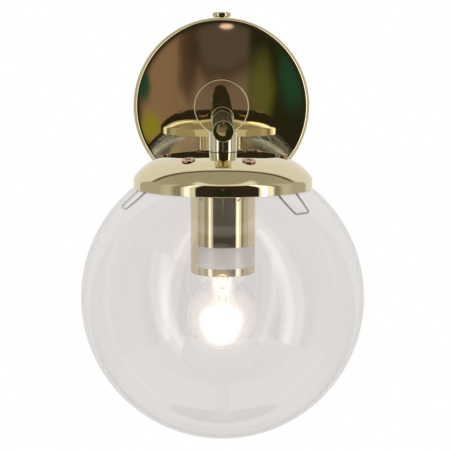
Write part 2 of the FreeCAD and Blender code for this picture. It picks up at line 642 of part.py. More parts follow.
# ---------------------------------------------------------------- cap and globe
def make_cap():
    """Pressed cap: flat crown, round shoulder and a plain upright rim band."""
    body = turned("globe_cap", "XZ_Plane", [
        ("rim_in", "-rim_foot_in"),
        ("rim_rad", "-cap_rim"),
        ("rim_rad", "-corner_low"),
        ("corner_rad", "-corner_z", "corner_round", 1),
        ("crown_rad", "-crown_z", "shoulder_round", 1),
        ("0", "-apex", "crown_round", 1),
        ("0", "-apex_in"),
        ("crown_rad_in", "-crown_z_in", "crown_in", -1),
        ("corner_rad_in", "-corner_z_in", "shoulder_in", -1),
        ("rim_in", "-corner_low", "corner_in", -1),
    ], "reach")
    round_holes(body, "XY_Plane", [("0", "0", "pipe_rad")], "NippleHole")
    hole = round_holes(body, "XY_Plane", [("0", "0", "thread_rad")], "ClipHole",
                       clip_seat(size("clip_turn")), "clip_drill")
    ring = body.newObject("PartDesign::PolarPattern", "ClipHoles")
    ring.Originals = [hole]
    ring.Axis = (origin_feature(body, "Z_Axis"), [""])
    ring.Angle = 360
    ring.Occurrences = 6
    body.Tip = ring
    doc.recompute()


def clip_screw_angles():
    return [size("clip_turn") + 60 * k for k in range(6)]


def clip_seat(angle, depth=0.0):
    """A place on the crown, square to it; the angle runs from the front to the right."""
    lean = math.radians(size("clip_lean"))
    radius = size("clip_ring_rad") - depth * math.sin(lean)
    height = -size("clip_seat_z") - depth * math.cos(lean)
    turn_by = math.radians(angle)
    spot = Vector(radius * math.sin(turn_by), -radius * math.cos(turn_by), height)
    tilt = Rotation(Vector(0, 0, 1), angle).multiply(Rotation(Vector(1, 0, 0), size("clip_lean")))
    return Placement(spot, tilt)


def on_lamp_axis(shape, seat):
    """A piece put at a seat that is given from the lamp's own axis."""
    moved = shape.copy()
    moved.Placement = Placement(Vector(0, -size("reach"), 0), Rotation()).multiply(seat)
    return moved


def make_clip_fixings():
    """Six cross-head screws through the crown, each with a nut that pinches a spring's eye."""
    screw = cross_screw(size("clip_head_rad"), size("clip_head_tall"), size("thread_rad"),
                        size("clip_shank"))
    nut = hex_nut(3.5, size("thread_rad"), 2.2)
    screws = [on_lamp_axis(screw, clip_seat(angle)) for angle in clip_screw_angles()]
    nuts = [on_lamp_axis(nut, clip_seat(angle, size("clip_nut_depth")))
            for angle in clip_screw_angles()]
    group("clip_screws", screws)
    group("clip_nuts", nuts)


def make_clips():
    """Three spring wires: an eye at each of two screws, and a loop that holds the glass."""
    half, depth = 30, size("clip_eye_depth")
    eye = size("thread_rad") + size("clip_wire") + 0.4
    lean = math.radians(size("clip_lean"))
    ring = size("clip_ring_rad") - depth * math.sin(lean)
    level = -size("clip_seat_z") - depth * math.cos(lean)
    across = ring * math.cos(math.radians(half))
    aside = ring * math.sin(math.radians(half))
    # half of the bend, from one eye out to the mouth, down through it and along the glass
    eye_end = [
        (across + eye, aside, level),
        (across + eye, aside - eye * 1.6, level - 0.4),
    ]
    loop_end = [
        (41.4, 12.0, level - 2.8),
        (45.4, 9.4, -30.6),
        (46.6, 8.6, -34.4),
        (49.6, 8.0, -37.2),
        (56.0, 7.4, -42.8),
        (62.0, 6.2, -48.0),
    ]
    skew = Rotation(Vector(0, 0, 1), size("clip_skew"))
    points = list(eye_end)
    points += [skew.multVec(Vector(x, y, z)) for x, y, z in loop_end]
    points += [skew.multVec(Vector(x, -y, z)) for x, y, z in reversed(loop_end)]
    points += [(x, -y, z) for x, y, z in reversed(eye_end)]
    wire = wire_along(bent_path(points, 1.9), size("clip_wire"))
    loops = [Part.makeTorus(eye, size("clip_wire"), Vector(across, sign * aside, level))
             for sign in (1, -1)]
    clip = wire.fuse(loops).removeSplitter().Solids[0]
    first = size("clip_turn") + half
    for name, middle in (("left", first - 60), ("right", first + 60), ("rear", first + 180)):
        shape = clip.copy()
        shape.Placement = Placement(Vector(0, -size("reach"), 0),
                                    Rotation(Vector(0, 0, 1), middle - 90))
        solid("globe_clip_" + name, shape)


def make_globe():
    turned("glass_globe", "XZ_Plane", [
        ("0", "-globe_low_in", "globe_in", -1),
        ("0", "-globe_low"),
        ("mouth_rad", "-mouth_out_z", "globe_rad", 1),
        ("mouth_rad", "-mouth_in_z"),
    ], "reach")


# ---------------------------------------------------------------- socket tube and lampholder
def make_socket_tube():
    turned("socket_tube", "XZ_Plane", [
        ("pipe_rad", "-tube_top"),
        ("pipe_rad", "-low_nut_top"),
        ("tube_in", "-low_nut_top"),
        ("tube_in", "-tube_end"),
        ("tube_rad", "-tube_end"),
        ("tube_rad", "-tube_top"),
    ], "reach")


def make_lampholder():
    """Moulded holder in two halves, with the threaded shell and the spring contact."""
    turned("lampholder_cap", "XZ_Plane", [
        ("pipe_rad", "-holder_top"),
        ("holder_neck_rad", "-holder_top"),
        ("holder_neck_rad", "-holder_neck"),
        ("holder_rad", "-holder_neck"),
        ("holder_rad", "-holder_split"),
        ("holder_in", "-holder_split"),
        ("holder_in", "-holder_roof"),
        ("pipe_rad", "-holder_roof"),
    ], "reach")
    turned("lampholder_body", "XZ_Plane", [
        ("0", "-holder_split"),
        ("skirt_rad", "-holder_split"),
        ("skirt_rad", "-holder_end"),
        ("shell_out", "-holder_end"),
        ("shell_out", "-holder_floor"),
        ("0", "-holder_floor"),
    ], "reach")
    turned("threaded_shell", "XZ_Plane", [
        ("shell_rad", "-shell_end"),
        ("shell_out", "-shell_end"),
        ("shell_out", "-shell_top"),
        ("shell_rad", "-shell_top"),
    ], "reach")
    make_centre_contact()


def make_centre_contact():
    """A strip of sheet folded back under itself, so that its tongue springs on the bulb."""
    sheet, wide, long = 0.5, 4.0, 9.0
    roof, low = -size("holder_floor"), -size("tip_top") + size("run_gap")
    corner = Vector(-long / 2, -wide / 2, 0)
    strip = Part.makeBox(long, wide, sheet, corner + Vector(0, 0, roof - sheet))
    leaf = Part.makeBox(sheet, wide, roof - low, corner + Vector(0, 0, low))
    tongue = Part.makeBox(long * 0.72, wide, sheet, corner + Vector(0, 0, low))
    contact = strip.fuse([leaf, tongue]).removeSplitter()
    solid("centre_contact", placed(contact, (0, -size("reach"), 0)))


# ---------------------------------------------------------------- bulb
def make_bulb():
    """Golf-ball bulb, 45 mm, with an E14 base."""
    turned("bulb_glass", "XZ_Plane", [
        ("0", "-bulb_low_in", "bulb_in", -1),
        ("0", "-bulb_low"),
        ("joint_rad", "-joint_z", "bulb_rad", 1),
        ("neck_rad", "-neck_z", "neck_blend", -1),
        ("neck_rad", "-base_end"),
        ("base_in", "-base_end"),
        ("base_in", "-glass_top"),
        ("throat", "-glass_top"),
        ("throat", "-throat_z"),
        ("neck_in", "-throat_out_z"),
        ("neck_in", "-neck_z"),
        ("joint_rad_in", "-joint_z_in", "blend_in", 1),
    ], "reach")
    turned("bulb_base", "XZ_Plane", [
        ("base_in", "-base_end"),
        ("base_rad", "-base_end"),
        ("base_rad", "-base_top"),
        ("insul_rad", "-base_top"),
        ("insul_rad", "-base_top_in"),
        ("base_in", "-base_top_in"),
    ], "reach")
    turned("bulb_insulator", "XZ_Plane", [
        ("0", "-base_top"),
        ("insul_rad", "-base_top"),
        ("tip_rad", "-insul_tip"),
        ("0", "-insul_tip"),
    ], "reach")
    turned("bulb_tip", "XZ_Plane", [
        ("0", "-insul_tip"),
        ("tip_rad", "-insul_tip"),
        ("0", "-tip_top", "tip_round", 1),
    ], "reach")
    turned("bulb_stem", "XZ_Plane", [
        ("0", "-stem_foot"),
        ("stem_wide", "-stem_foot"),
        ("stem_thin", "-stem_waist"),
        ("stem_thin", "-stem_end"),
        ("0", "-stem_end"),
    ], "reach")


def make_filament():
    """Two leads spread from the stem, a wire hook between them, and the coiled filament."""
    reach, start = size("reach"), -size("stem_end") + 3
    lead_foot, spread, drop = 2.1, 9.0, -size("bulb_drop") - 3.0
    leads = []
    for side in (-1, 1):
        path = bent_path([(side * lead_foot, -reach, start), (side * lead_foot, -reach, start - 5),
                          (side * spread, -reach, drop)], 2.0)
        leads.append(wire_along(path, 0.3))
    group("bulb_leads", leads)
    hook = bent_path([(0, -reach, -size("stem_end")), (0, -reach, -size("stem_end") - 4),
                      (0, -reach - 2.2, drop + 1.5)], 1.2)
    solid("bulb_hook", wire_along(hook, 0.2))
    sag = 2.4
    ends = [(-spread + 0.65, -reach, drop), (-spread * 0.5, -reach - 1.6, drop - sag * 0.7),
            (0, -reach - 2.6, drop - sag + 1.2), (spread * 0.5, -reach - 1.6, drop - sag * 0.7),
            (spread - 0.65, -reach, drop)]
    solid("bulb_filament", wire_along(bent_path(ends, 6.0), 0.35))


def make_inner_wires():
    """Two insulated wires from the terminal block, through the arm, to the lampholder."""
    reach, off = size("reach"), size("flex_off")
    entry = -size("pipe_start_y")
    for name, side in (("live", 1), ("neutral", -1)):
        x, z = side * off, side * 7.5
        route = [
            (25.5, entry - 0.5, z),
            (19.0, entry - 0.3, z),
            (12.0, entry + 6.2, z * 0.7),
            (x + 1.5, entry + 7.0, 0.6 * side),
            (x, entry + 1.5, 0),
            (x, -60.0, 0),
            (x, -120.0, 0.15),
            (x, -180.0, 0),
            (x, -reach + 3.5, 0),
            (x, -reach, -4.5),
            (x, -reach, -24.0),
            (x, -reach, -size("drop_pipe_end") - 3),
            (side * 5.0, -reach, -size("holder_split") + 1.6),
        ]
        solid("wire_" + name, wire_along(bent_path(route, 9.0), size("flex_rad")))


# ---------------------------------------------------------------- build, check, write
def build():
    make_backplate()
    make_bracket()
    make_thumb_screws()
    make_terminal_block()
    make_earth_screw()
    make_arm()
    make_coupling()
    make_cap()
    make_clip_fixings()
    make_clips()
    make_globe()
    make_socket_tube()
    make_lampholder()
    make_bulb()
    make_filament()
    make_inner_wires()
    doc.recompute()


def check_and_write():
    os.makedirs("parts", exist_ok=True)
    for item in doc.Objects:
        if "Invalid" in item.State or "Error" in item.State:
            raise RuntimeError("failed: " + item.Label)
    for node, item in parts.items():
        shape = item.Shape
        if shape.isNull() or not shape.isValid() or not shape.Solids:
            raise RuntimeError("bad shape: " + node)
        shape.exportStep("parts/%s.step" % node)
        print("%-20s solids %d  volume %.1f" % (node, len(shape.Solids), shape.Volume))


build()
check_and_write()
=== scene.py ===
# %% [markdown]
# # A brass wall sconce with a clear glass globe
#
# The lamp hangs a hand-blown globe from the end of a long tube arm. Nearly all of it
# is polished metal or glass, so most of what the eye sees is reflection: the pieces
# need truly smooth curves, and the studio round them is part of the finish.
# The first cell loads the construction model, which gives every size and place.

# %% load the frame
import bpy
import bmesh
import math
from mathutils import Matrix, Vector


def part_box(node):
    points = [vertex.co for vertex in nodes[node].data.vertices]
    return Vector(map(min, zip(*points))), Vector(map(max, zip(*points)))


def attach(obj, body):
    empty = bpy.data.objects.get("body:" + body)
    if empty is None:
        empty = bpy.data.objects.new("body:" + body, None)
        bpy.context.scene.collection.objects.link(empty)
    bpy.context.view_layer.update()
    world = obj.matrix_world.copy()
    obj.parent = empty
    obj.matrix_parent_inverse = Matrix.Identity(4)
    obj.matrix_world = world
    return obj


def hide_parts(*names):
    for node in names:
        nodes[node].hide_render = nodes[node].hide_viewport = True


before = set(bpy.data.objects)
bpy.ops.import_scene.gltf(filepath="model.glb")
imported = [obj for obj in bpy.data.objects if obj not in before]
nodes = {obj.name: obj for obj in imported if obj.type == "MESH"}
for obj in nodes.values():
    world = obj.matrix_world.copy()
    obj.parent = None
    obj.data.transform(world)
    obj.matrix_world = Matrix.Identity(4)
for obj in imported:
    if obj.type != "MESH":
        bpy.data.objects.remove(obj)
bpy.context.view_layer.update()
MM = 0.001

# %% [markdown]
# ## Sizes read from the frame
#
# Each piece that is remade here sits exactly where the construction model has it, so
# the sizes are read from that model's boxes and only small radii are given.

# %% sizes
plate_low, plate_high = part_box("backplate")
cap_low, cap_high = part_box("globe_cap")
globe_low, globe_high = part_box("glass_globe")
tube_low, tube_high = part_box("socket_tube")
bulb_low, bulb_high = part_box("bulb_glass")
arm_low, arm_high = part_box("arm_tube")
plug_low, plug_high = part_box("arm_end_cap")
sleeve_low, sleeve_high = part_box("arm_sleeve")
boss_low, boss_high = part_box("boss")
coupling_low, coupling_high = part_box("coupling")
base_low, base_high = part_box("bulb_base")

lamp_axis = Vector((0, (tube_low.y + tube_high.y) / 2, 0))
plate_rad = plate_high.z
plate_face = plate_low.y
cap_rad = (cap_high.x - cap_low.x) / 2
globe_rad = (globe_high.x - globe_low.x) / 2
print("reach", round(-lamp_axis.y, 4), "globe", round(globe_rad * 2, 4))

# %% [markdown]
# ## A small lathe
#
# Spun, turned and blown pieces are all solids of revolution. One helper spins a
# closed outline round an axis; another gives the points of a round stretch. Edges
# sharper than 25 degrees stay crisp and everything else is shaded smooth. Where a long
# straight stretch runs into a tight curve, a narrow "hold" ring beside the curve keeps
# the straight stretch flat, because smooth shading mixes the faces at each corner.

# %% lathe helpers
STEPS = 160
ON_AXIS = 1e-7          # a point this near the axis is one point, not a ring
CRISP = math.radians(25)
HOLD = 0.15 * MM


def arc(across, up, radius, start, end, count=12):
    """Points on a circle in the outline's plane; angles in degrees from +across."""
    spots = []
    for k in range(count + 1):
        angle = math.radians(start + (end - start) * k / count)
        spots.append((across + radius * math.cos(angle), up + radius * math.sin(angle)))
    return spots


def spin_points(outline, direction, steps):
    """Rings of points about Z (direction "Z") or about -Y (direction "Y")."""
    rings = []
    for radius, height in outline:
        if radius < ON_AXIS:
            rings.append([Vector((0, 0, height))])
            continue
        rings.append([Vector((radius * math.sin(2 * math.pi * k / steps),
                              -radius * math.cos(2 * math.pi * k / steps), height))
                      for k in range(steps)])
    if direction == "Y":
        turn = Matrix.Rotation(math.radians(90), 3, "X")
        rings = [[turn @ p for p in ring] for ring in rings]
    return rings


def lathe(name, outline, direction="Z", centre=Vector((0, 0, 0)), steps=STEPS, closed=True):
    """Spin an outline; a closed one joins its last point to its first."""
    body = bmesh.new()
    rings = [[body.verts.new(p + centre) for p in ring]
             for ring in spin_points(outline, direction, steps)]
    pairs = list(zip(rings, rings[1:]))
    if closed and not (len(rings[0]) == 1 and len(rings[-1]) == 1):
        pairs.append((rings[-1], rings[0]))
    for first, last in pairs:
        for k in range(steps):
            n = (k + 1) % steps
            corners = ([first[0]] if len(first) == 1 else [first[k], first[n]])
            corners += ([last[0]] if len(last) == 1 else [last[n], last[k]])
            if len(corners) > 2:
                body.faces.new(corners)
    bmesh.ops.recalc_face_normals(body, faces=body.faces)
    return finish_mesh(name, body)


def finish_mesh(name, body):
    mesh = bpy.data.meshes.new(name)
    body.to_mesh(mesh)
    body.free()
    mesh.shade_smooth()
    mesh.set_sharp_from_angle(angle=CRISP)
    piece = bpy.data.objects.new(name, mesh)
    bpy.context.scene.collection.objects.link(piece)
    return piece


def settle(piece, body, slot, material, *stands_for):
    """Give a piece its body and material, and hide the nodes that it stands for; the slot is not
    used.
    """
    piece.data.materials.clear()
    piece.data.materials.append(material)
    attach(piece, body)
    if stands_for:
        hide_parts(*stands_for)
    return piece


# %% [markdown]
# ## Shared finish: handling marks
#
# Polished metal is never quite even. A node group holds one faint effect that every
# metal here shares: broad, cloudy changes of polish and fine hairlines. It puts out a
# roughness, a tint mask and a bump height, and each material chooses its own amounts.

# %% node groups
def new_group(name, inputs, outputs):
    """An empty shader group; inputs are (name, kind, value), outputs (name, kind)."""
    group = bpy.data.node_groups.new(name, "ShaderNodeTree")
    for title, kind, value in inputs:
        socket = group.interface.new_socket(title, in_out="INPUT", socket_type=kind)
        socket.default_value = value
    for title, kind in outputs:
        group.interface.new_socket(title, in_out="OUTPUT", socket_type=kind)
    return group, group.nodes.new("NodeGroupInput"), group.nodes.new("NodeGroupOutput")


def math_node(tree, operation, first, second=None, clamp=False):
    node = tree.nodes.new("ShaderNodeMath")
    node.operation = operation
    node.use_clamp = clamp
    for socket, value in zip(node.inputs, (first, second)):
        if value is None:
            continue
        if isinstance(value, bpy.types.NodeSocket):
            tree.links.new(value, socket)
        else:
            socket.default_value = value
    return node.outputs[0]


def polish_marks_group():
    group, given, out = new_group("polish_marks", [
        ("Roughness", "NodeSocketFloat", 0.1),
        ("Cloud", "NodeSocketFloat", 0.04),
        ("Hairlines", "NodeSocketFloat", 0.02),
        ("Cloud Scale", "NodeSocketFloat", 30.0),
        ("Stretch", "NodeSocketVector", (1.0, 1.0, 1.0)),
    ], [("Roughness", "NodeSocketFloat"), ("Mask", "NodeSocketFloat"),
        ("Height", "NodeSocketFloat")])
    place = group.nodes.new("ShaderNodeTexCoord")
    cloud = group.nodes.new("ShaderNodeTexNoise")
    cloud.inputs["Detail"].default_value = 3.0
    group.links.new(place.outputs["Object"], cloud.inputs["Vector"])
    group.links.new(given.outputs["Cloud Scale"], cloud.inputs["Scale"])
    stretched = group.nodes.new("ShaderNodeVectorMath")
    stretched.operation = "MULTIPLY"
    group.links.new(place.outputs["Object"], stretched.inputs[0])
    group.links.new(given.outputs["Stretch"], stretched.inputs[1])
    hair = group.nodes.new("ShaderNodeTexNoise")
    hair.inputs["Scale"].default_value = 1.0
    hair.inputs["Detail"].default_value = 2.0
    group.links.new(stretched.outputs[0], hair.inputs["Vector"])
    cloudy = math_node(group, "SUBTRACT", cloud.outputs["Fac"], 0.5)
    lined = math_node(group, "SUBTRACT", hair.outputs["Fac"], 0.5)
    rough = math_node(group, "ADD", given.outputs["Roughness"],
                      math_node(group, "MULTIPLY", cloudy, given.outputs["Cloud"]))
    rough = math_node(group, "ADD", rough,
                      math_node(group, "MULTIPLY", lined, given.outputs["Hairlines"]), True)
    group.links.new(rough, out.inputs["Roughness"])
    group.links.new(cloud.outputs["Fac"], out.inputs["Mask"])
    group.links.new(hair.outputs["Fac"], out.inputs["Height"])
    return group


HAIRLINE_DEPTH = 0.00005
GRAIN_DEPTH = 0.00003
POLISH = polish_marks_group()
print("group", POLISH.name, [s.name for s in POLISH.interface.items_tree])


# %% [markdown]
# ## Metals
#
# The lamp is one pale gold metal in two finishes: mirror polish on the backplate and
# the cap, and a finer satin on the turned parts. A metal has no colour of its own
# apart from the tint of its reflections, so the base colour is that tint.

# %% metal materials
def new_material(name):
    material = bpy.data.materials.new(name)
    material.use_nodes = True
    tree = material.node_tree
    return material, tree, tree.nodes["Principled BSDF"]


def metal(name, tint, dark_tint, roughness, cloud, hairlines, bump, stretch=(40, 40, 900),
          cloud_scale=28.0):
    material, tree, shader = new_material(name)
    shader.inputs["Metallic"].default_value = 1.0
    marks = tree.nodes.new("ShaderNodeGroup")
    marks.node_tree = POLISH
    marks.inputs["Roughness"].default_value = roughness
    marks.inputs["Cloud"].default_value = cloud
    marks.inputs["Hairlines"].default_value = hairlines
    marks.inputs["Cloud Scale"].default_value = cloud_scale
    marks.inputs["Stretch"].default_value = stretch
    tree.links.new(marks.outputs["Roughness"], shader.inputs["Roughness"])
    blend = tree.nodes.new("ShaderNodeMix")
    blend.data_type = "RGBA"
    blend.inputs["A"].default_value = (*dark_tint, 1)
    blend.inputs["B"].default_value = (*tint, 1)
    tree.links.new(marks.outputs["Mask"], blend.inputs["Factor"])
    tree.links.new(blend.outputs["Result"], shader.inputs["Base Color"])
    if bump:
        relief = tree.nodes.new("ShaderNodeBump")
        relief.inputs["Strength"].default_value = bump
        relief.inputs["Distance"].default_value = HAIRLINE_DEPTH
        tree.links.new(marks.outputs["Height"], relief.inputs["Height"])
        tree.links.new(relief.outputs["Normal"], shader.inputs["Normal"])
    return material


mirror_gold = metal("mirror_gold", (0.77, 0.69, 0.46), (0.74, 0.66, 0.43), 0.02, 0.02, 0.0, 0)
silver_gold = metal("silver_gold", (0.80, 0.74, 0.62), (0.76, 0.70, 0.58), 0.07, 0.05, 0.03, 0)
satin_gold = metal("satin_gold", (0.74, 0.65, 0.45), (0.70, 0.61, 0.41), 0.09, 0.05, 0.03, 0)
raw_brass = metal("raw_brass", (0.72, 0.56, 0.28), (0.60, 0.45, 0.20), 0.28, 0.10, 0.10, 0.2)
dark_copper = metal("dark_copper", (0.62, 0.38, 0.26), (0.42, 0.24, 0.15), 0.16, 0.1, 0.05, 0.1)
zinc_steel = metal("zinc_steel", (0.66, 0.67, 0.69), (0.56, 0.57, 0.60), 0.30, 0.12, 0.08, 0.2,
                   cloud_scale=120.0)
spring_wire = metal("spring_wire", (0.60, 0.60, 0.58), (0.46, 0.46, 0.45), 0.20, 0.08, 0.05, 0)
nickel = metal("nickel", (0.70, 0.68, 0.64), (0.60, 0.58, 0.54), 0.16, 0.06, 0.05, 0)
solder = metal("solder", (0.60, 0.60, 0.60), (0.42, 0.42, 0.43), 0.38, 0.2, 0.1, 0.3,
               cloud_scale=400.0)
print("metals made")

# %% [markdown]
# ## Glass, plastics and the hot coil
#
# Clear glass is a plain refracting surface, modelled with both its skins so that light
# bends twice. The mouldings get a faint grain. The coil is a metal that gives off light.

# %% other materials
def glass(name, tint, index):
    material, _, shader = new_material(name)
    shader.inputs["Base Color"].default_value = (*tint, 1)
    shader.inputs["Transmission Weight"].default_value = 1.0
    shader.inputs["Roughness"].default_value = 0.0
    shader.inputs["IOR"].default_value = index
    return material


def moulding(name, colour, dark_colour, roughness, grain_scale=900.0):
    material, tree, shader = new_material(name)
    place = tree.nodes.new("ShaderNodeTexCoord")
    grain = tree.nodes.new("ShaderNodeTexNoise")
    grain.inputs["Scale"].default_value = grain_scale
    tree.links.new(place.outputs["Object"], grain.inputs["Vector"])
    blend = tree.nodes.new("ShaderNodeMix")
    blend.data_type = "RGBA"
    blend.inputs["A"].default_value = (*dark_colour, 1)
    blend.inputs["B"].default_value = (*colour, 1)
    tree.links.new(grain.outputs["Fac"], blend.inputs["Factor"])
    tree.links.new(blend.outputs["Result"], shader.inputs["Base Color"])
    shader.inputs["Roughness"].default_value = roughness
    relief = tree.nodes.new("ShaderNodeBump")
    relief.inputs["Strength"].default_value = 0.15
    relief.inputs["Distance"].default_value = GRAIN_DEPTH
    tree.links.new(grain.outputs["Fac"], relief.inputs["Height"])
    tree.links.new(relief.outputs["Normal"], shader.inputs["Normal"])
    return material


clear_glass = glass("clear_glass", (0.985, 0.980, 0.980), 1.47)
bulb_clear = glass("bulb_clear", (0.99, 0.985, 0.98), 1.30)
holder_black = moulding("holder_black", (0.035, 0.034, 0.032), (0.02, 0.02, 0.02), 0.45)
terminal_white = moulding("terminal_white", (0.82, 0.82, 0.78), (0.74, 0.74, 0.70), 0.4)
black_glass = moulding("black_glass", (0.02, 0.02, 0.025), (0.01, 0.01, 0.01), 0.12)
wire_brown = moulding("wire_brown", (0.16, 0.07, 0.03), (0.12, 0.05, 0.02), 0.4)
wire_blue = moulding("wire_blue", (0.03, 0.10, 0.36), (0.02, 0.07, 0.28), 0.4)


COIL_GLOW = 30.0


def hot_coil():
    material, tree, shader = new_material("hot_coil")
    place = tree.nodes.new("ShaderNodeTexCoord")
    along = tree.nodes.new("ShaderNodeTexNoise")
    along.inputs["Scale"].default_value = 300.0
    tree.links.new(place.outputs["Object"], along.inputs["Vector"])
    ramp = tree.nodes.new("ShaderNodeValToRGB")
    ramp.color_ramp.elements[0].position = 0.3
    ramp.color_ramp.elements[0].color = (1.0, 0.45, 0.12, 1)
    ramp.color_ramp.elements[1].position = 0.7
    ramp.color_ramp.elements[1].color = (1.0, 0.70, 0.35, 1)
    tree.links.new(along.outputs["Fac"], ramp.inputs["Fac"])
    tree.links.new(ramp.outputs["Color"], shader.inputs["Emission Color"])
    shader.inputs["Emission Strength"].default_value = COIL_GLOW
    shader.inputs["Base Color"].default_value = (0.9, 0.6, 0.3, 1)
    return material


glowing = hot_coil()

# %% [markdown]
# ## The backplate
#
# A pressed pan: a dead flat polished face, a rounded lip that catches the light all
# round, and a plain side back to the wall. The flat must stay flat, or the room in it
# would bend: a narrow ring of faces next to the lip keeps the smooth shading of the lip
# from spreading over the face.

# %% backplate, boss and arm
plate_sheet = 1.2 * MM
plate_lip = 4.0 * MM
pipe_rad = 5.0 * MM
arm_sheet = 1.0 * MM
boss_bevel, sleeve_bevel, arm_bevel = 0.8 * MM, 0.3 * MM, 0.02 * MM


def pan_outline():
    face, rim = -plate_face, plate_rad
    outer = [(rim, 0.0)] + arc(rim - plate_lip, face - plate_lip, plate_lip, 0, 90, 14)
    inner = arc(rim - plate_lip, face - plate_lip, plate_lip - plate_sheet, 90, 0, 14)
    hold = rim - plate_lip - HOLD
    return outer + [(hold, face), (pipe_rad, face), (pipe_rad, face - plate_sheet),
                    (hold, face - plate_sheet)] + inner + [(rim - plate_sheet, 0.0)]


def bevelled_rod(radius, back, front, bevel, bore=0.0):
    """Outline of a turned rod or ring along the arm, from the wall outwards."""
    inside = [(bore, front), (bore, back)]
    return [(radius, back), (radius, front - bevel), (radius - bevel, front)] + inside


settle(lathe("backplate_pan", pan_outline(), "Y", steps=256), "fixture", "polished_brass",
       mirror_gold, "backplate")
settle(lathe("boss_disc", bevelled_rod(boss_high.x, -boss_high.y, -boss_low.y, boss_bevel,
                                       pipe_rad), "Y"),
       "fixture", "satin_brass", mirror_gold, "boss")
settle(lathe("sleeve", bevelled_rod(sleeve_high.x, -sleeve_high.y, -sleeve_low.y, sleeve_bevel,
                                    arm_high.x), "Y"),
       "fixture", "satin_brass", satin_gold, "arm_sleeve")
settle(lathe("front_tube", bevelled_rod(arm_high.x, -arm_high.y, -arm_low.y, arm_bevel,
                                        arm_high.x - arm_sheet), "Y"),
       "fixture", "satin_brass", satin_gold, "arm_tube")
plug_head, plug_edge, plug_round = 2.0 * MM, 0.35 * MM, 150.0 * MM
plug_fit = 1.02 * MM        # the tube's wall and a hair of clearance
plug_in, plug_end = arm_high.x - plug_fit, -plug_low.y


def end_cap_outline():
    """A short plug in the tube with a polished head, domed by a tenth of a millimetre."""
    flat = arm_high.x - plug_edge
    lean = math.degrees(math.asin(flat / plug_round))
    dome = arc(0, plug_end - plug_round, plug_round, 90 - lean, 90, 8)
    return [(0.0, -plug_high.y), (plug_in, -plug_high.y), (plug_in, plug_end - plug_head),
            (arm_high.x, plug_end - plug_head), (arm_high.x, dome[0][1] - plug_edge)] + dome


settle(lathe("end_cap", end_cap_outline(), "Y"), "fixture", "satin_brass", mirror_gold,
       "arm_end_cap")
print("arm pieces made")

# %% [markdown]
# ## Coupling and cap
#
# The post under the arm is saddled onto the tube; here it is a plain turned post, and
# the tube runs through its top. The cap below it is pressed from sheet: a nearly flat
# crown, a round shoulder and an upright rim band. Its outline is three arcs that meet
# without a crease, so the reflections run on over the corner.

# %% coupling and cap
cap_top = cap_high.z
crown_round = 230.0 * MM
crown_rad = 33.0 * MM
shoulder_round = 32.0 * MM
corner_round = 4.0 * MM
cap_sheet = 1.0 * MM
post_bevel = 0.4 * MM
saddle_top = coupling_high.z
post_rad = (coupling_high.x - coupling_low.x) / 2

crown_lean = math.asin(crown_rad / crown_round)
shoulder_across = crown_rad - shoulder_round * math.sin(crown_lean)
shoulder_up = cap_top - crown_round + (crown_round - shoulder_round) * math.cos(crown_lean)
corner_across = cap_rad - corner_round
corner_lean = math.asin((corner_across - shoulder_across) / (shoulder_round - corner_round))
corner_up = shoulder_up + (shoulder_round - corner_round) * math.cos(corner_lean)


def cap_skin(inset):
    """Crown, shoulder and corner, set in by inset, from the middle outwards."""
    meet, turn = 90 - math.degrees(crown_lean), 90 - math.degrees(corner_lean)
    crown = arc(0, cap_top - crown_round, crown_round - inset, 90, meet, 24)
    shoulder = arc(shoulder_across, shoulder_up, shoulder_round - inset, meet, turn, 28)
    corner = arc(corner_across, corner_up, corner_round - inset, turn, 0, 10)
    return crown + shoulder[1:] + corner[1:]


def cap_outline():
    rim, edge = cap_low.z, 0.3 * MM
    band = [(cap_rad, corner_up - HOLD), (cap_rad, rim + edge + HOLD)]
    foot = band + arc(cap_rad - edge, rim + edge, edge, 0, -90, 5)
    inner_foot = [(cap_rad - cap_sheet, rim + 1.1 * MM)]
    return cap_skin(0.0) + foot + inner_foot + list(reversed(cap_skin(cap_sheet)))


post_outline = [(pipe_rad, coupling_low.z), (post_rad, coupling_low.z),
                (post_rad, saddle_top - post_bevel), (post_rad - post_bevel, saddle_top),
                (pipe_rad, saddle_top)]
settle(lathe("post", post_outline, centre=lamp_axis), "fixture", "satin_brass", silver_gold,
       "coupling")
settle(lathe("dome_cap", cap_outline(), centre=lamp_axis, steps=256, closed=False), "fixture",
       "polished_brass", mirror_gold, "globe_cap")
print("cap made, rim at", round(cap_low.z, 4))

# %% [markdown]
# ## The glass globe
#
# Blown into a mould and cut at the mouth, then fire-polished: the cut edge is rounded.
# Two skins a couple of millimetres apart give the doubled lines near the edge.

# %% globe
globe_mid = globe_low.z + globe_rad
glass_sheet = 2.0 * MM
mouth_rad = 48.5 * MM
lip_round, lip_edge, lip_crest = 0.45 * MM, 0.75 * MM, 0.95 * MM


def globe_outline():
    inner_rad = globe_rad - glass_sheet
    outer_end = math.degrees(math.acos(mouth_rad / globe_rad))
    inner_end = math.degrees(math.acos(mouth_rad / inner_rad))
    outer = arc(0, globe_mid, globe_rad, -90, outer_end, 110)
    lip_out = outer[-1]
    lip_in = (mouth_rad, globe_mid + inner_rad * math.sin(math.radians(inner_end)))
    lip = [(mouth_rad - lip_edge, lip_out[1] - lip_round),
           (mouth_rad - lip_crest, (lip_out[1] + lip_in[1]) / 2),
           (mouth_rad - lip_edge, lip_in[1] + lip_round)]
    inner = arc(0, globe_mid, inner_rad, inner_end, -90, 110)
    return outer + lip + inner


settle(lathe("globe", globe_outline(), centre=lamp_axis, steps=256), "globe", "clear_glass",
       clear_glass, "glass_globe")

# %% [markdown]
# ## The socket tube
#
# Drawn tube, closed at the top, that hides the lampholder. Its lower edge is turned
# smooth.

# %% socket tube
tube_rad = (tube_high.x - tube_low.x) / 2
tube_sheet = 1.0 * MM
tube_bevel = 0.6 * MM


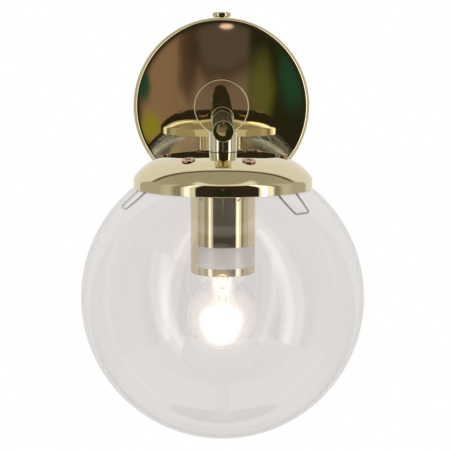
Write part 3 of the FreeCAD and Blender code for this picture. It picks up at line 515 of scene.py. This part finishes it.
def socket_tube_outline():
    low, high = tube_low.z, tube_high.z
    inside = tube_rad - tube_sheet
    return [(pipe_rad, high), (tube_rad - tube_bevel, high), (tube_rad, high - tube_bevel),
            (tube_rad, low + 0.35 * MM), (tube_rad - 0.25 * MM, low), (inside + 0.1 * MM, low),
            (inside, low + 0.2 * MM), (inside, high - tube_sheet), (pipe_rad, high - tube_sheet)]


settle(lathe("socket_cover", socket_tube_outline(), centre=lamp_axis, steps=192), "fixture",
       "satin_brass", satin_gold, "socket_tube")

# %% [markdown]
# ## The silver label
#
# A plain foil label is stuck round the front of the tube, a little above its mouth. It
# follows the tube and stands a tenth of a millimetre proud of it.

# %% label
LABEL_START, LABEL_END = -50.0, 71.0        # degrees round from the front, to the right
LABEL_GAP, LABEL_TALL, LABEL_LIFT = 4.8 * MM, 13.0 * MM, 0.1 * MM


def label_patch(steps=60, corner=1.2 * MM):
    """A patch of the tube's surface with rounded corners, and a thin edge back to it."""
    body = bmesh.new()
    radius = tube_rad + LABEL_LIFT
    half = math.radians(LABEL_END - LABEL_START) * radius / 2
    middle_turn = math.radians(LABEL_START + LABEL_END) / 2
    low, high = tube_low.z + LABEL_GAP, tube_low.z + LABEL_GAP + LABEL_TALL
    rows = []
    for k in range(steps + 1):
        along = -half + 2 * half * k / steps
        near_end = max(0.0, abs(along) - (half - corner))
        cut = corner - math.sqrt(max(corner ** 2 - near_end ** 2, 0.0))
        turn = middle_turn + along / radius
        row = []
        for out, up in ((tube_rad, low + cut), (radius, low + cut), (radius, high - cut),
                        (tube_rad, high - cut)):
            row.append(body.verts.new(lamp_axis + Vector((out * math.sin(turn),
                                                          -out * math.cos(turn), up))))
        rows.append(row)
    for first, last in zip(rows, rows[1:]):
        for k in range(3):
            body.faces.new((first[k], last[k], last[k + 1], first[k + 1]))
    for row in (rows[0], rows[-1]):
        body.faces.new(row)
    bmesh.ops.recalc_face_normals(body, faces=body.faces)
    return finish_mesh("silver_label", body)


silver_foil = metal("silver_foil", (0.97, 0.95, 0.93), (0.93, 0.91, 0.89), 0.46, 0.10, 0.05, 0.1)
silver_foil.node_tree.nodes["Principled BSDF"].inputs["Metallic"].default_value = 0.5
settle(label_patch(), "fixture", "zinc_steel", silver_foil)

# %% [markdown]
# ## The bulb
#
# A 45 mm golf-ball bulb: a thin blown ball that runs into its neck by a hollow curve.
# The nickel base has a rolled thread, and the filament is a wound coil on its leads.

# %% bulb
bulb_rad = (bulb_high.x - bulb_low.x) / 2
bulb_mid = bulb_low.z + bulb_rad
bulb_sheet = 0.7 * MM
neck_rad = 7.2 * MM
neck_blend = 12.0 * MM
NECK_OUT, NECK_IN = 6.48 * MM, 5.8 * MM     # the stub of neck inside the base
NECK_SEAT = 6.0 * MM                        # how far it reaches in


def bulb_skin(inset):
    """From the lowest point up to the end of the neck, set in by inset."""
    reach = bulb_rad + neck_blend
    side = neck_rad + neck_blend
    rise = math.sqrt(reach ** 2 - side ** 2)
    meet = math.degrees(math.atan2(rise, side))
    ball = arc(0, bulb_mid, bulb_rad - inset, -90, meet, 48)
    neck = arc(side, bulb_mid + rise, neck_blend + inset, 180 + meet, 180, 12)
    return ball + neck[1:]


def bulb_outline():
    base_end = base_low.z
    seated = base_end + NECK_SEAT
    outer = bulb_skin(0.0) + [(neck_rad, base_end), (NECK_OUT, base_end), (NECK_OUT, seated)]
    inner = [(NECK_IN, seated), (NECK_IN, base_end - 0.3 * MM)]
    return outer + inner + list(reversed(bulb_skin(bulb_sheet)))


settle(lathe("bulb_ball", bulb_outline(), centre=lamp_axis), "bulb", "bulb_clear", bulb_clear,
       "bulb_glass")

# %% [markdown]
# ### The screw base
#
# The thread of the base is rolled into thin sheet, so it is a soft wave inside and out,
# and it climbs one pitch in each turn. The rings of a plain lathe can't climb, so here
# every point of the wall gets its own radius from its height and its turn.

# %% bulb base
PITCH = 2.82 * MM
THREAD_DEPTH = 0.55 * MM
base_rad = (base_high.x - base_low.x) / 2
base_sheet = 0.4 * MM
THREAD_RUN = 2.2 * MM       # plain sheet at each end, where the thread fades out
SHOULDER = 1.4 * MM         # round shoulder that draws the top in to the insulator


def wall_dip(height, turn):
    """How far the wall lies inside its widest radius, for a turn from 0 to 1."""
    near_end = min(height - base_low.z, base_high.z - height)
    fade = max(0.0, min(1.0, near_end / THREAD_RUN - 0.5))
    wave = 0.5 - 0.5 * math.cos(2 * math.pi * (height / PITCH - turn))
    over = max(0.0, 1.0 - (base_high.z - height) / SHOULDER)
    return THREAD_DEPTH * fade * wave + SHOULDER * (1.0 - math.sqrt(max(0.0, 1.0 - over ** 2)))


def screw_base(levels=64, steps=96):
    body = bmesh.new()
    tall = base_high.z - base_low.z
    walls = []
    for inset in (0.0, base_sheet):
        rows = []
        for k in range(levels + 1):
            height = base_low.z + tall * k / levels
            row = []
            for n in range(steps):
                radius = base_rad - inset - wall_dip(height, n / steps)
                angle = 2 * math.pi * n / steps
                row.append(body.verts.new(lamp_axis + Vector((radius * math.sin(angle),
                                                              -radius * math.cos(angle), height))))
            rows.append(row)
        walls.append(rows)
    outer, inner = walls
    loops = list(zip(outer, outer[1:])) + list(zip(inner, inner[1:]))
    loops += [(outer[0], inner[0]), (outer[-1], inner[-1])]
    for first, last in loops:
        for n in range(steps):
            m = (n + 1) % steps
            body.faces.new((first[n], first[m], last[m], last[n]))
    bmesh.ops.recalc_face_normals(body, faces=body.faces)
    return finish_mesh("screw_base", body)


settle(screw_base(), "bulb", "nickel_shell", nickel, "bulb_base")

# %% [markdown]
# ### The filament
#
# A fine wire wound into a coil, hung in a shallow sag between the leads and held up in
# the middle by the hook. The path of the sag is laid first, then the wire winds round
# it: each point of the coil turns about the path's own direction.

# %% filament
coil_low, coil_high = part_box("bulb_filament")
COIL_RAD, WIRE_RAD, COIL_PITCH = 0.28 * MM, 0.07 * MM, 0.30 * MM
COIL_STEPS, WIRE_SIDES = 12, 6


def sag_path(count=400):
    """A smooth line from lead to lead by way of the hook, in even steps across."""
    half = coil_high.x - COIL_RAD - WIRE_RAD
    top, low = coil_high.z - COIL_RAD - WIRE_RAD, coil_low.z + COIL_RAD + WIRE_RAD
    back, front = coil_high.y - COIL_RAD - WIRE_RAD, coil_low.y + COIL_RAD + WIRE_RAD
    spots = []
    for k in range(count + 1):
        s = 2.0 * k / count - 1.0
        out = 1.0 - s * s
        dip = 4.0 * s * s * out + 0.75 * out ** 3
        spots.append(Vector((half * s, back + (front - back) * out,
                             top + (low - top) * min(dip, 1.0))))
    return spots


def wound_wire():
    body = bmesh.new()
    path = sag_path()
    lengths = [0.0]
    for first, last in zip(path, path[1:]):
        lengths.append(lengths[-1] + (last - first).length)
    total = int(lengths[-1] / COIL_PITCH * COIL_STEPS)
    centres, spot = [], 0
    for k in range(total + 1):
        along = lengths[-1] * k / total
        while spot < len(path) - 2 and lengths[spot + 1] < along:
            spot += 1
        share = (along - lengths[spot]) / (lengths[spot + 1] - lengths[spot])
        middle = path[spot].lerp(path[spot + 1], share)
        ahead = (path[spot + 1] - path[spot]).normalized()
        side = ahead.cross(Vector((0, 0, 1))).normalized()
        rise = side.cross(ahead)
        angle = 2 * math.pi * k / COIL_STEPS
        centres.append(middle + COIL_RAD * (side * math.cos(angle) + rise * math.sin(angle)))
    rings = []
    for k, centre in enumerate(centres):
        ahead = (centres[min(k + 1, total)] - centres[max(k - 1, 0)]).normalized()
        side = ahead.cross(Vector((1, 0, 0))).normalized()
        rise = side.cross(ahead)
        rings.append([body.verts.new(centre + WIRE_RAD * (
            side * math.cos(2 * math.pi * n / WIRE_SIDES)
            + rise * math.sin(2 * math.pi * n / WIRE_SIDES))) for n in range(WIRE_SIDES)])
    for first, last in zip(rings, rings[1:]):
        for n in range(WIRE_SIDES):
            m = (n + 1) % WIRE_SIDES
            body.faces.new((first[n], first[m], last[m], last[n]))
    for end in (rings[0], rings[-1]):
        body.faces.new(end)
    bmesh.ops.recalc_face_normals(body, faces=body.faces)
    return finish_mesh("wound_filament", body)


coil = settle(wound_wire(), "bulb", "hot_tungsten", glowing, "bulb_filament")
print("coil faces", len(coil.data.polygons))

# %% [markdown]
# ## Pieces that keep their construction shape
#
# Small fasteners, fittings and hidden parts are right as they come. They only need
# their own finish. Their facets are coarser, so more of a bend is shaded smooth.

# %% finishes for the carried-over nodes
FINISHES = {
    zinc_steel: ["wall_bracket", "terminal_screws", "earth_screw", "earth_washer", "arm_nut",
                 "cap_nut", "tube_nut", "clip_nuts"],
    mirror_gold: ["thumb_screw_top", "thumb_screw_bottom"],
    raw_brass: ["arm_nipple", "drop_nipple", "threaded_shell", "centre_contact"],
    dark_copper: ["clip_screws"],
    spring_wire: ["globe_clip_right", "globe_clip_left", "globe_clip_rear"],
    holder_black: ["lampholder_cap", "lampholder_body"],
    terminal_white: ["terminal_block"],
    nickel: ["bulb_leads", "bulb_hook"],
    black_glass: ["bulb_insulator"],
    solder: ["bulb_tip"],
    bulb_clear: ["bulb_stem"],
    wire_brown: ["wire_live"],
    wire_blue: ["wire_neutral"],
}
COARSE_CRISP = math.radians(40)
for finish, names in FINISHES.items():
    for name in names:
        piece = nodes[name]
        piece.data.materials.clear()
        piece.data.materials.append(finish)
        piece.data.shade_smooth()
        piece.data.set_sharp_from_angle(angle=COARSE_CRISP)
print("carried over", sum(len(n) for n in FINISHES.values()))


# %% [markdown]
# ## The studio
#
# The metal shows a dark middle, a bright stripe either side of it and a dimmer flank, as
# it would in a white tent with a dark opening where the camera looks in and a tall soft
# light on each side of that opening. The world is such a tent, drawn by direction:
# angles are measured round from the camera's side, and the pale sheet behind the lamp
# is a round patch about an axis that leans up a little from +Y.

# %% studio world
def as_socket(tree, socket, value):
    """Link a socket or set a plain value."""
    if isinstance(value, bpy.types.NodeSocket):
        tree.links.new(value, socket)
    elif isinstance(value, tuple):
        socket.default_value = (*value, 1)
    else:
        socket.default_value = value


def ramp_between(tree, value, low, high):
    """0 below low, 1 above high, smooth between; low may be the larger one."""
    node = tree.nodes.new("ShaderNodeMapRange")
    node.interpolation_type = "SMOOTHSTEP"
    node.inputs["From Min"].default_value = min(low, high)
    node.inputs["From Max"].default_value = max(low, high)
    if low > high:
        node.inputs["To Min"].default_value = 1.0
        node.inputs["To Max"].default_value = 0.0
    as_socket(tree, node.inputs["Value"], value)
    return node.outputs["Result"]


def within(tree, value, low, high, soft):
    """1 between low and high, fading over soft at both ends."""
    return math_node(tree, "MULTIPLY", ramp_between(tree, value, low - soft, low + soft),
                     ramp_between(tree, value, high + soft, high - soft))


def mix_colours(tree, factor, first, second):
    node = tree.nodes.new("ShaderNodeMix")
    node.data_type = "RGBA"
    as_socket(tree, node.inputs["Factor"], factor)
    as_socket(tree, node.inputs["A"], first)
    as_socket(tree, node.inputs["B"], second)
    return node.outputs["Result"]


def soft_patch(tree, side, lift, middle, half, soft=0.35):
    """1 inside an ellipse of directions, fading to 0 over the outer share of it."""
    first = math_node(tree, "DIVIDE", math_node(tree, "SUBTRACT", side, middle[0]), half[0])
    second = math_node(tree, "DIVIDE", math_node(tree, "SUBTRACT", lift, middle[1]), half[1])
    far = math_node(tree, "SQRT", math_node(tree, "ADD", math_node(tree, "POWER", first, 2.0),
                                            math_node(tree, "POWER", second, 2.0)))
    return ramp_between(tree, far, 1.0 + soft, 1.0 - soft)


def dark_room(tree, place, across, height):
    """What the flat of the plate shows: a dim room, in a few soft patches."""
    stretched = tree.nodes.new("ShaderNodeVectorMath")
    stretched.operation = "MULTIPLY"
    stretched.inputs[1].default_value = (90.0, 90.0, 26.0)
    tree.links.new(place, stretched.inputs[0])
    streaks = tree.nodes.new("ShaderNodeTexNoise")
    streaks.inputs["Scale"].default_value = 1.0
    streaks.inputs["Detail"].default_value = 2.0
    tree.links.new(stretched.outputs[0], streaks.inputs["Vector"])
    uneven = math_node(tree, "SUBTRACT", streaks.outputs["Fac"], 0.5)
    sway = math_node(tree, "MULTIPLY", uneven, 0.012)
    side = math_node(tree, "ADD", across, sway)
    lift = math_node(tree, "ADD", height, sway)

    colour = mix_colours(tree, ramp_between(tree, side, -0.040, 0.000), (0.28, 0.18, 0.115),
                         (0.20, 0.14, 0.11))
    # pale at the foot, a darker upright fold, and a broad dark round patch high up
    colour = mix_colours(tree, ramp_between(tree, lift, -0.078, -0.092), colour,
                         (0.42, 0.34, 0.14))
    fold = soft_patch(tree, side, lift, (-0.019, -0.030), (0.006, 0.024), 0.5)
    colour = mix_colours(tree, fold, colour, (0.10, 0.06, 0.045))
    colour = mix_colours(tree, soft_patch(tree, side, lift, (0.006, -0.008), (0.028, 0.031)),
                         colour, (0.05, 0.03, 0.022))
    colour = mix_colours(tree, soft_patch(tree, side, lift, (0.006, -0.012), (0.020, 0.021), 0.2),
                         colour, (0.105, 0.078, 0.068))
    # the right side: nearly black, with an olive streak and a green one
    colour = mix_colours(tree, ramp_between(tree, side, 0.021, 0.029), colour,
                         (0.022, 0.022, 0.010))
    colour = mix_colours(tree, soft_patch(tree, side, lift, (0.0325, -0.050), (0.0075, 0.026), 0.6),
                         colour, (0.12, 0.12, 0.03))
    colour = mix_colours(tree, soft_patch(tree, side, lift, (0.056, -0.036), (0.010, 0.022), 0.6),
                         colour, (0.018, 0.070, 0.040))
    # dark all round the edge, with a green glint low on the left and one beside it
    edge = soft_patch(tree, across, height, (0.0048, -0.0576), (0.0575, 0.0575), 0.045)
    colour = mix_colours(tree, edge, (0.022, 0.024, 0.012), colour)
    colour = mix_colours(tree, soft_patch(tree, side, lift, (-0.047, -0.074), (0.007, 0.010), 0.6),
                         colour, (0.30, 0.27, 0.03))
    colour = mix_colours(tree, soft_patch(tree, side, lift, (-0.052, -0.045), (0.004, 0.012), 0.6),
                         colour, (0.02, 0.07, 0.045))
    # a small warm lamp right at the top
    return mix_colours(tree, soft_patch(tree, across, height, (0.0080, -0.0020),
                                        (0.0046, 0.0017), 0.3), colour, (1.25, 0.92, 0.82))


OPENING_TURN = 5.5      # the opening's middle, degrees to the right of the wall's normal
SHEET_TILT = (1.0, 0.30)        # the sheet's edge is a ring about this (depth, height) direction
SHEET_EDGE = 0.612
PAPER = (0.765, 0.745, 0.735)   # the backdrop's paper, as the glass shows it
TENT_SIDE = (0.51, 0.49, 0.41)
TENT_ROOF = (0.42, 0.39, 0.31)
LIT_SIDE = (0.9, 0.88, 0.82)
DIM_SIDE = (0.31, 0.29, 0.23)
SEAM = (0.12, 0.11, 0.08)
SHEET = (0.86, 0.85, 0.81)
OPENING = (0.035, 0.028, 0.02)
TOP_STRIP = (0.95, 0.93, 0.86)
GROUND = (0.70, 0.69, 0.65)
# start and end in degrees from the opening's middle, and tone: two lights, then their tubes
TALL_LIGHTS = [(-60, -41, (0.85, 0.83, 0.78)), (41, 62, (1.2, 1.18, 1.1)),
               (-55, -49, (1.9, 1.9, 1.8)), (45, 52, (2.4, 2.4, 2.3))]


def build_world():
    world = bpy.data.worlds.new("studio")
    bpy.context.scene.world = world
    world.use_nodes = True
    tree = world.node_tree
    shader = tree.nodes["Background"]
    place = tree.nodes.new("ShaderNodeTexCoord")
    split = tree.nodes.new("ShaderNodeSeparateXYZ")
    tree.links.new(place.outputs["Generated"], split.inputs[0])
    across, depth, height = split.outputs
    front = math_node(tree, "MULTIPLY", depth, -1.0)
    turned = math_node(tree, "MULTIPLY", math_node(tree, "ARCTAN2", across, front), 180 / math.pi)
    turned = math_node(tree, "SUBTRACT", turned, OPENING_TURN)
    raised = math_node(tree, "MULTIPLY", math_node(tree, "ARCSINE", height), 180 / math.pi)
    aside = math_node(tree, "ABSOLUTE", turned)

    # the tent's side and roof
    colour = mix_colours(tree, ramp_between(tree, raised, 20, 62), TENT_SIDE, TENT_ROOF)
    low_down = ramp_between(tree, raised, 55, 35)
    lit_side = math_node(tree, "MULTIPLY", within(tree, aside, 75, 90, 7), low_down)
    colour = mix_colours(tree, math_node(tree, "MULTIPLY", lit_side, 0.35), colour, LIT_SIDE)
    dim_side = math_node(tree, "MULTIPLY", within(tree, aside, 58, 72, 4), low_down)
    colour = mix_colours(tree, dim_side, colour, DIM_SIDE)
    # the sheet behind, past a dark seam that runs up each side and over the roof
    slant = math_node(tree, "ADD", math_node(tree, "MULTIPLY", depth, SHEET_TILT[0]),
                      math_node(tree, "MULTIPLY", height, SHEET_TILT[1]))
    seam = math_node(tree, "MULTIPLY", within(tree, slant, SHEET_EDGE - 0.06, SHEET_EDGE, 0.015),
                     ramp_between(tree, raised, 25, 40))
    colour = mix_colours(tree, seam, colour, SEAM)
    behind = ramp_between(tree, slant, SHEET_EDGE, SHEET_EDGE + 0.03)
    colour = mix_colours(tree, behind, colour, SHEET)
    # the two tall lights, each with a brighter tube in it
    below_top = ramp_between(tree, raised, 62, 56)
    for start, end, tone in TALL_LIGHTS:
        strip = math_node(tree, "MULTIPLY", within(tree, turned, start, end, 2.0), below_top)
        colour = mix_colours(tree, strip, colour, tone)
    # the opening that the camera looks in by, and the strip over it; glass seen against
    # the opening from behind the lamp shows paper instead of a black hole
    rays = tree.nodes.new("ShaderNodeLightPath")
    see_through = math_node(tree, "MULTIPLY", rays.outputs["Is Transmission Ray"],
                            math_node(tree, "LESS_THAN", rays.outputs["Glossy Depth"], 0.5))
    opening = math_node(tree, "MULTIPLY", ramp_between(tree, aside, 41.5, 39.5), below_top)
    colour = mix_colours(tree, opening, colour,
                         mix_colours(tree, see_through, OPENING, PAPER))
    seen_flat = math_node(tree, "MULTIPLY", within(tree, across, -0.16, 0.17, 0.04),
                          within(tree, height, -0.17, 0.03, 0.02))
    seen_flat = math_node(tree, "MULTIPLY", seen_flat, ramp_between(tree, front, 0.0, 0.2))
    seen_flat = math_node(tree, "MULTIPLY", seen_flat,
                          math_node(tree, "SUBTRACT", 1.0, see_through))
    colour = mix_colours(tree, seen_flat, colour,
                         dark_room(tree, place.outputs["Generated"], across, height))
    top_strip = math_node(tree, "MULTIPLY", within(tree, raised, 60, 68, 2),
                          ramp_between(tree, aside, 80, 60))
    colour = mix_colours(tree, top_strip, colour, TOP_STRIP)
    colour = mix_colours(tree, ramp_between(tree, raised, -25, -45), colour, GROUND)

    colour = mix_colours(tree, rays.outputs["Is Camera Ray"], colour, (1.0, 1.0, 1.0))
    tree.links.new(colour, shader.inputs["Color"])
    shader.inputs["Strength"].default_value = 1.0


build_world()

# %% [markdown]
# ## Wall and floor
#
# The lamp hangs on a pale wall. Straight on, the wall is plain white, as in a cut-out
# catalogue picture; through the glass it keeps the soft grey of a real sheet of paper,
# which is what makes the globe readable against it.

# %% wall and floor
def backdrop(name, corners, through_glass):
    """A flat sheet: white straight on, through_glass in colour when seen through glass."""
    mesh = bpy.data.meshes.new(name)
    mesh.from_pydata([Vector(c) for c in corners], [], [(0, 1, 2, 3)])
    piece = bpy.data.objects.new(name, mesh)
    bpy.context.scene.collection.objects.link(piece)
    material, tree, shader = new_material(name)
    shader.inputs["Base Color"].default_value = (0.85, 0.85, 0.84, 1)
    shader.inputs["Roughness"].default_value = 0.9
    rays = tree.nodes.new("ShaderNodeLightPath")
    tint = mix_colours(tree, rays.outputs["Is Camera Ray"], through_glass, (1.0, 1.0, 1.0))
    plain = tree.nodes.new("ShaderNodeEmission")
    tree.links.new(tint, plain.inputs["Color"])
    straight = math_node(tree, "MAXIMUM", rays.outputs["Is Camera Ray"],
                         math_node(tree, "MAXIMUM", rays.outputs["Is Transmission Ray"],
                                   rays.outputs["Is Glossy Ray"]))
    blend = tree.nodes.new("ShaderNodeMixShader")
    tree.links.new(straight, blend.inputs[0])
    tree.links.new(shader.outputs[0], blend.inputs[1])
    tree.links.new(plain.outputs[0], blend.inputs[2])
    # from behind, the sheet is see-through, so the lamp's back can be looked at
    behind = tree.nodes.new("ShaderNodeNewGeometry")
    clear = tree.nodes.new("ShaderNodeBsdfTransparent")
    one_sided = tree.nodes.new("ShaderNodeMixShader")
    tree.links.new(behind.outputs["Backfacing"], one_sided.inputs[0])
    tree.links.new(blend.outputs[0], one_sided.inputs[1])
    tree.links.new(clear.outputs[0], one_sided.inputs[2])
    tree.links.new(one_sided.outputs[0], tree.nodes["Material Output"].inputs["Surface"])
    mesh.materials.append(material)
    return piece


WALL_HALF, FLOOR_DROP, FLOOR_DEEP = 1.6, 1.1, 2.6
FLOOR_TONE = (0.75, 0.74, 0.72)
wall_y = 0.5 * MM
wall = backdrop("wall", [(-WALL_HALF, wall_y, -FLOOR_DROP), (WALL_HALF, wall_y, -FLOOR_DROP),
                         (WALL_HALF, wall_y, WALL_HALF), (-WALL_HALF, wall_y, WALL_HALF)],
                PAPER)
wall.visible_glossy = False         # the metal shows the tent, not this sheet
wall.visible_diffuse = False
wall.visible_shadow = False
backdrop("floor", [(-WALL_HALF, -FLOOR_DEEP, -FLOOR_DROP), (WALL_HALF, -FLOOR_DEEP, -FLOOR_DROP),
                   (WALL_HALF, wall_y, -FLOOR_DROP), (-WALL_HALF, wall_y, -FLOOR_DROP)],
         FLOOR_TONE)

# %% [markdown]
# ## Light of the bulb
#
# The picture was taken with the bulb lit: the coil burns out to white and its glow
# fills the lower half of the ball. A point light in Cycles is a ball that adds its light
# to what lies behind it, so a few weak ones, brightest in their middles, make the soft
# bloom round the coil. One stronger lamp throws warm light on the brass above.

# %% glow
def add_glow(name, centre, radius, colour, strength, power):
    """A soft ball of light; strength is the brightness that its middle adds."""
    light = bpy.data.lights.new(name, "POINT")
    light.shadow_soft_size = radius
    light.use_soft_falloff = False
    light.energy = strength * 4 * math.pi ** 2 * radius ** 2
    light.color = colour
    light.use_nodes = True
    tree = light.node_tree
    face_on = tree.nodes.new("ShaderNodeLayerWeight")
    face_on.inputs["Blend"].default_value = 0.5
    inward = math_node(tree, "SUBTRACT", 1.0, face_on.outputs["Facing"])
    tree.links.new(math_node(tree, "POWER", inward, power),
                   tree.nodes["Emission"].inputs["Strength"])
    ball = bpy.data.objects.new(name, light)
    ball.location = centre
    ball.visible_glossy = False
    ball.visible_diffuse = False
    bpy.context.scene.collection.objects.link(ball)


coil_spot = (coil_low + coil_high) / 2
# name, centre from the coil (mm), radius (mm), colour, strength, power
GLOWS = [("glow_wide", (-1.0, 0, 1.0), 26.0, (1.0, 0.84, 0.72), 0.20, 2.5),
         ("glow_left", (-6.0, 0, 0.5), 10.0, (1.0, 0.93, 0.80), 0.60, 2.5),
         ("glow_right", (5.0, 0, 0.5), 10.0, (1.0, 0.93, 0.80), 0.50, 2.5),
         ("glow_core", (-1.0, 0, -4.5), 13.5, (1.0, 0.92, 0.80), 0.90, 3.0),
         ("glow_stem_low", (0, 0, 13.0), 8.0, (1.0, 0.78, 0.50), 0.22, 2.0),
         ("glow_stem_high", (0, 0, 21.0), 8.0, (1.0, 0.78, 0.50), 0.26, 2.0)]
for name, offset, radius, colour, strength, power in GLOWS:
    add_glow(name, coil_spot + Vector(offset) * MM, radius * MM, colour, strength, power)
tube_foot = Vector((-1.0 * MM, tube_low.y, tube_low.z))
add_glow("glow_foot", tube_foot, 7.0 * MM, (1.0, 0.66, 0.36), 0.26, 2.0)
add_glow("glow_veil", tube_foot + Vector((0, 2, 5)) * MM, 16.0 * MM, (1.0, 0.90, 0.82), 0.18, 1.5)
LAMP_WATTS, LAMP_TINT, LAMP_RAD = 1.0, (1.0, 0.72, 0.42), 6.0 * MM
lamp_light = bpy.data.lights.new("coil_light", "POINT")
lamp_light.energy = LAMP_WATTS
lamp_light.color = LAMP_TINT
lamp_light.shadow_soft_size = LAMP_RAD
lamp_object = bpy.data.objects.new("coil_light", lamp_light)
lamp_object.location = coil_spot
bpy.context.scene.collection.objects.link(lamp_object)

# %% [markdown]
# ## Camera
#
# The picture was taken with a long lens from just above the arm, a little to the left,
# looking down on the globe. The place and the angles were solved from the ellipses of
# the rims, so the camera tips down instead of shifting its lens.

# %% camera
CAMERA_SPOT = Vector((-4.9, -1098.0, 62.8)) * MM
LENS, SENSOR = 112.0, 36.0
TIP_DOWN, TURN_RIGHT, ROLL = 8.19, 0.42, 0.15


def make_camera():
    data = bpy.data.cameras.new("camera")
    data.lens = LENS
    data.sensor_width = SENSOR
    data.clip_end = 20
    camera = bpy.data.objects.new("camera", data)
    bpy.context.scene.collection.objects.link(camera)
    down, right = math.radians(TIP_DOWN), math.radians(TURN_RIGHT)
    look = Vector((math.sin(right) * math.cos(down), math.cos(right) * math.cos(down),
                   -math.sin(down)))
    camera.matrix_world = (Matrix.Translation(CAMERA_SPOT)
                           @ look.to_track_quat("-Z", "Y").to_matrix().to_4x4()
                           @ Matrix.Rotation(math.radians(ROLL), 4, "Z"))
    bpy.context.scene.camera = camera


make_camera()
bpy.context.scene.view_settings.view_transform = "Standard"
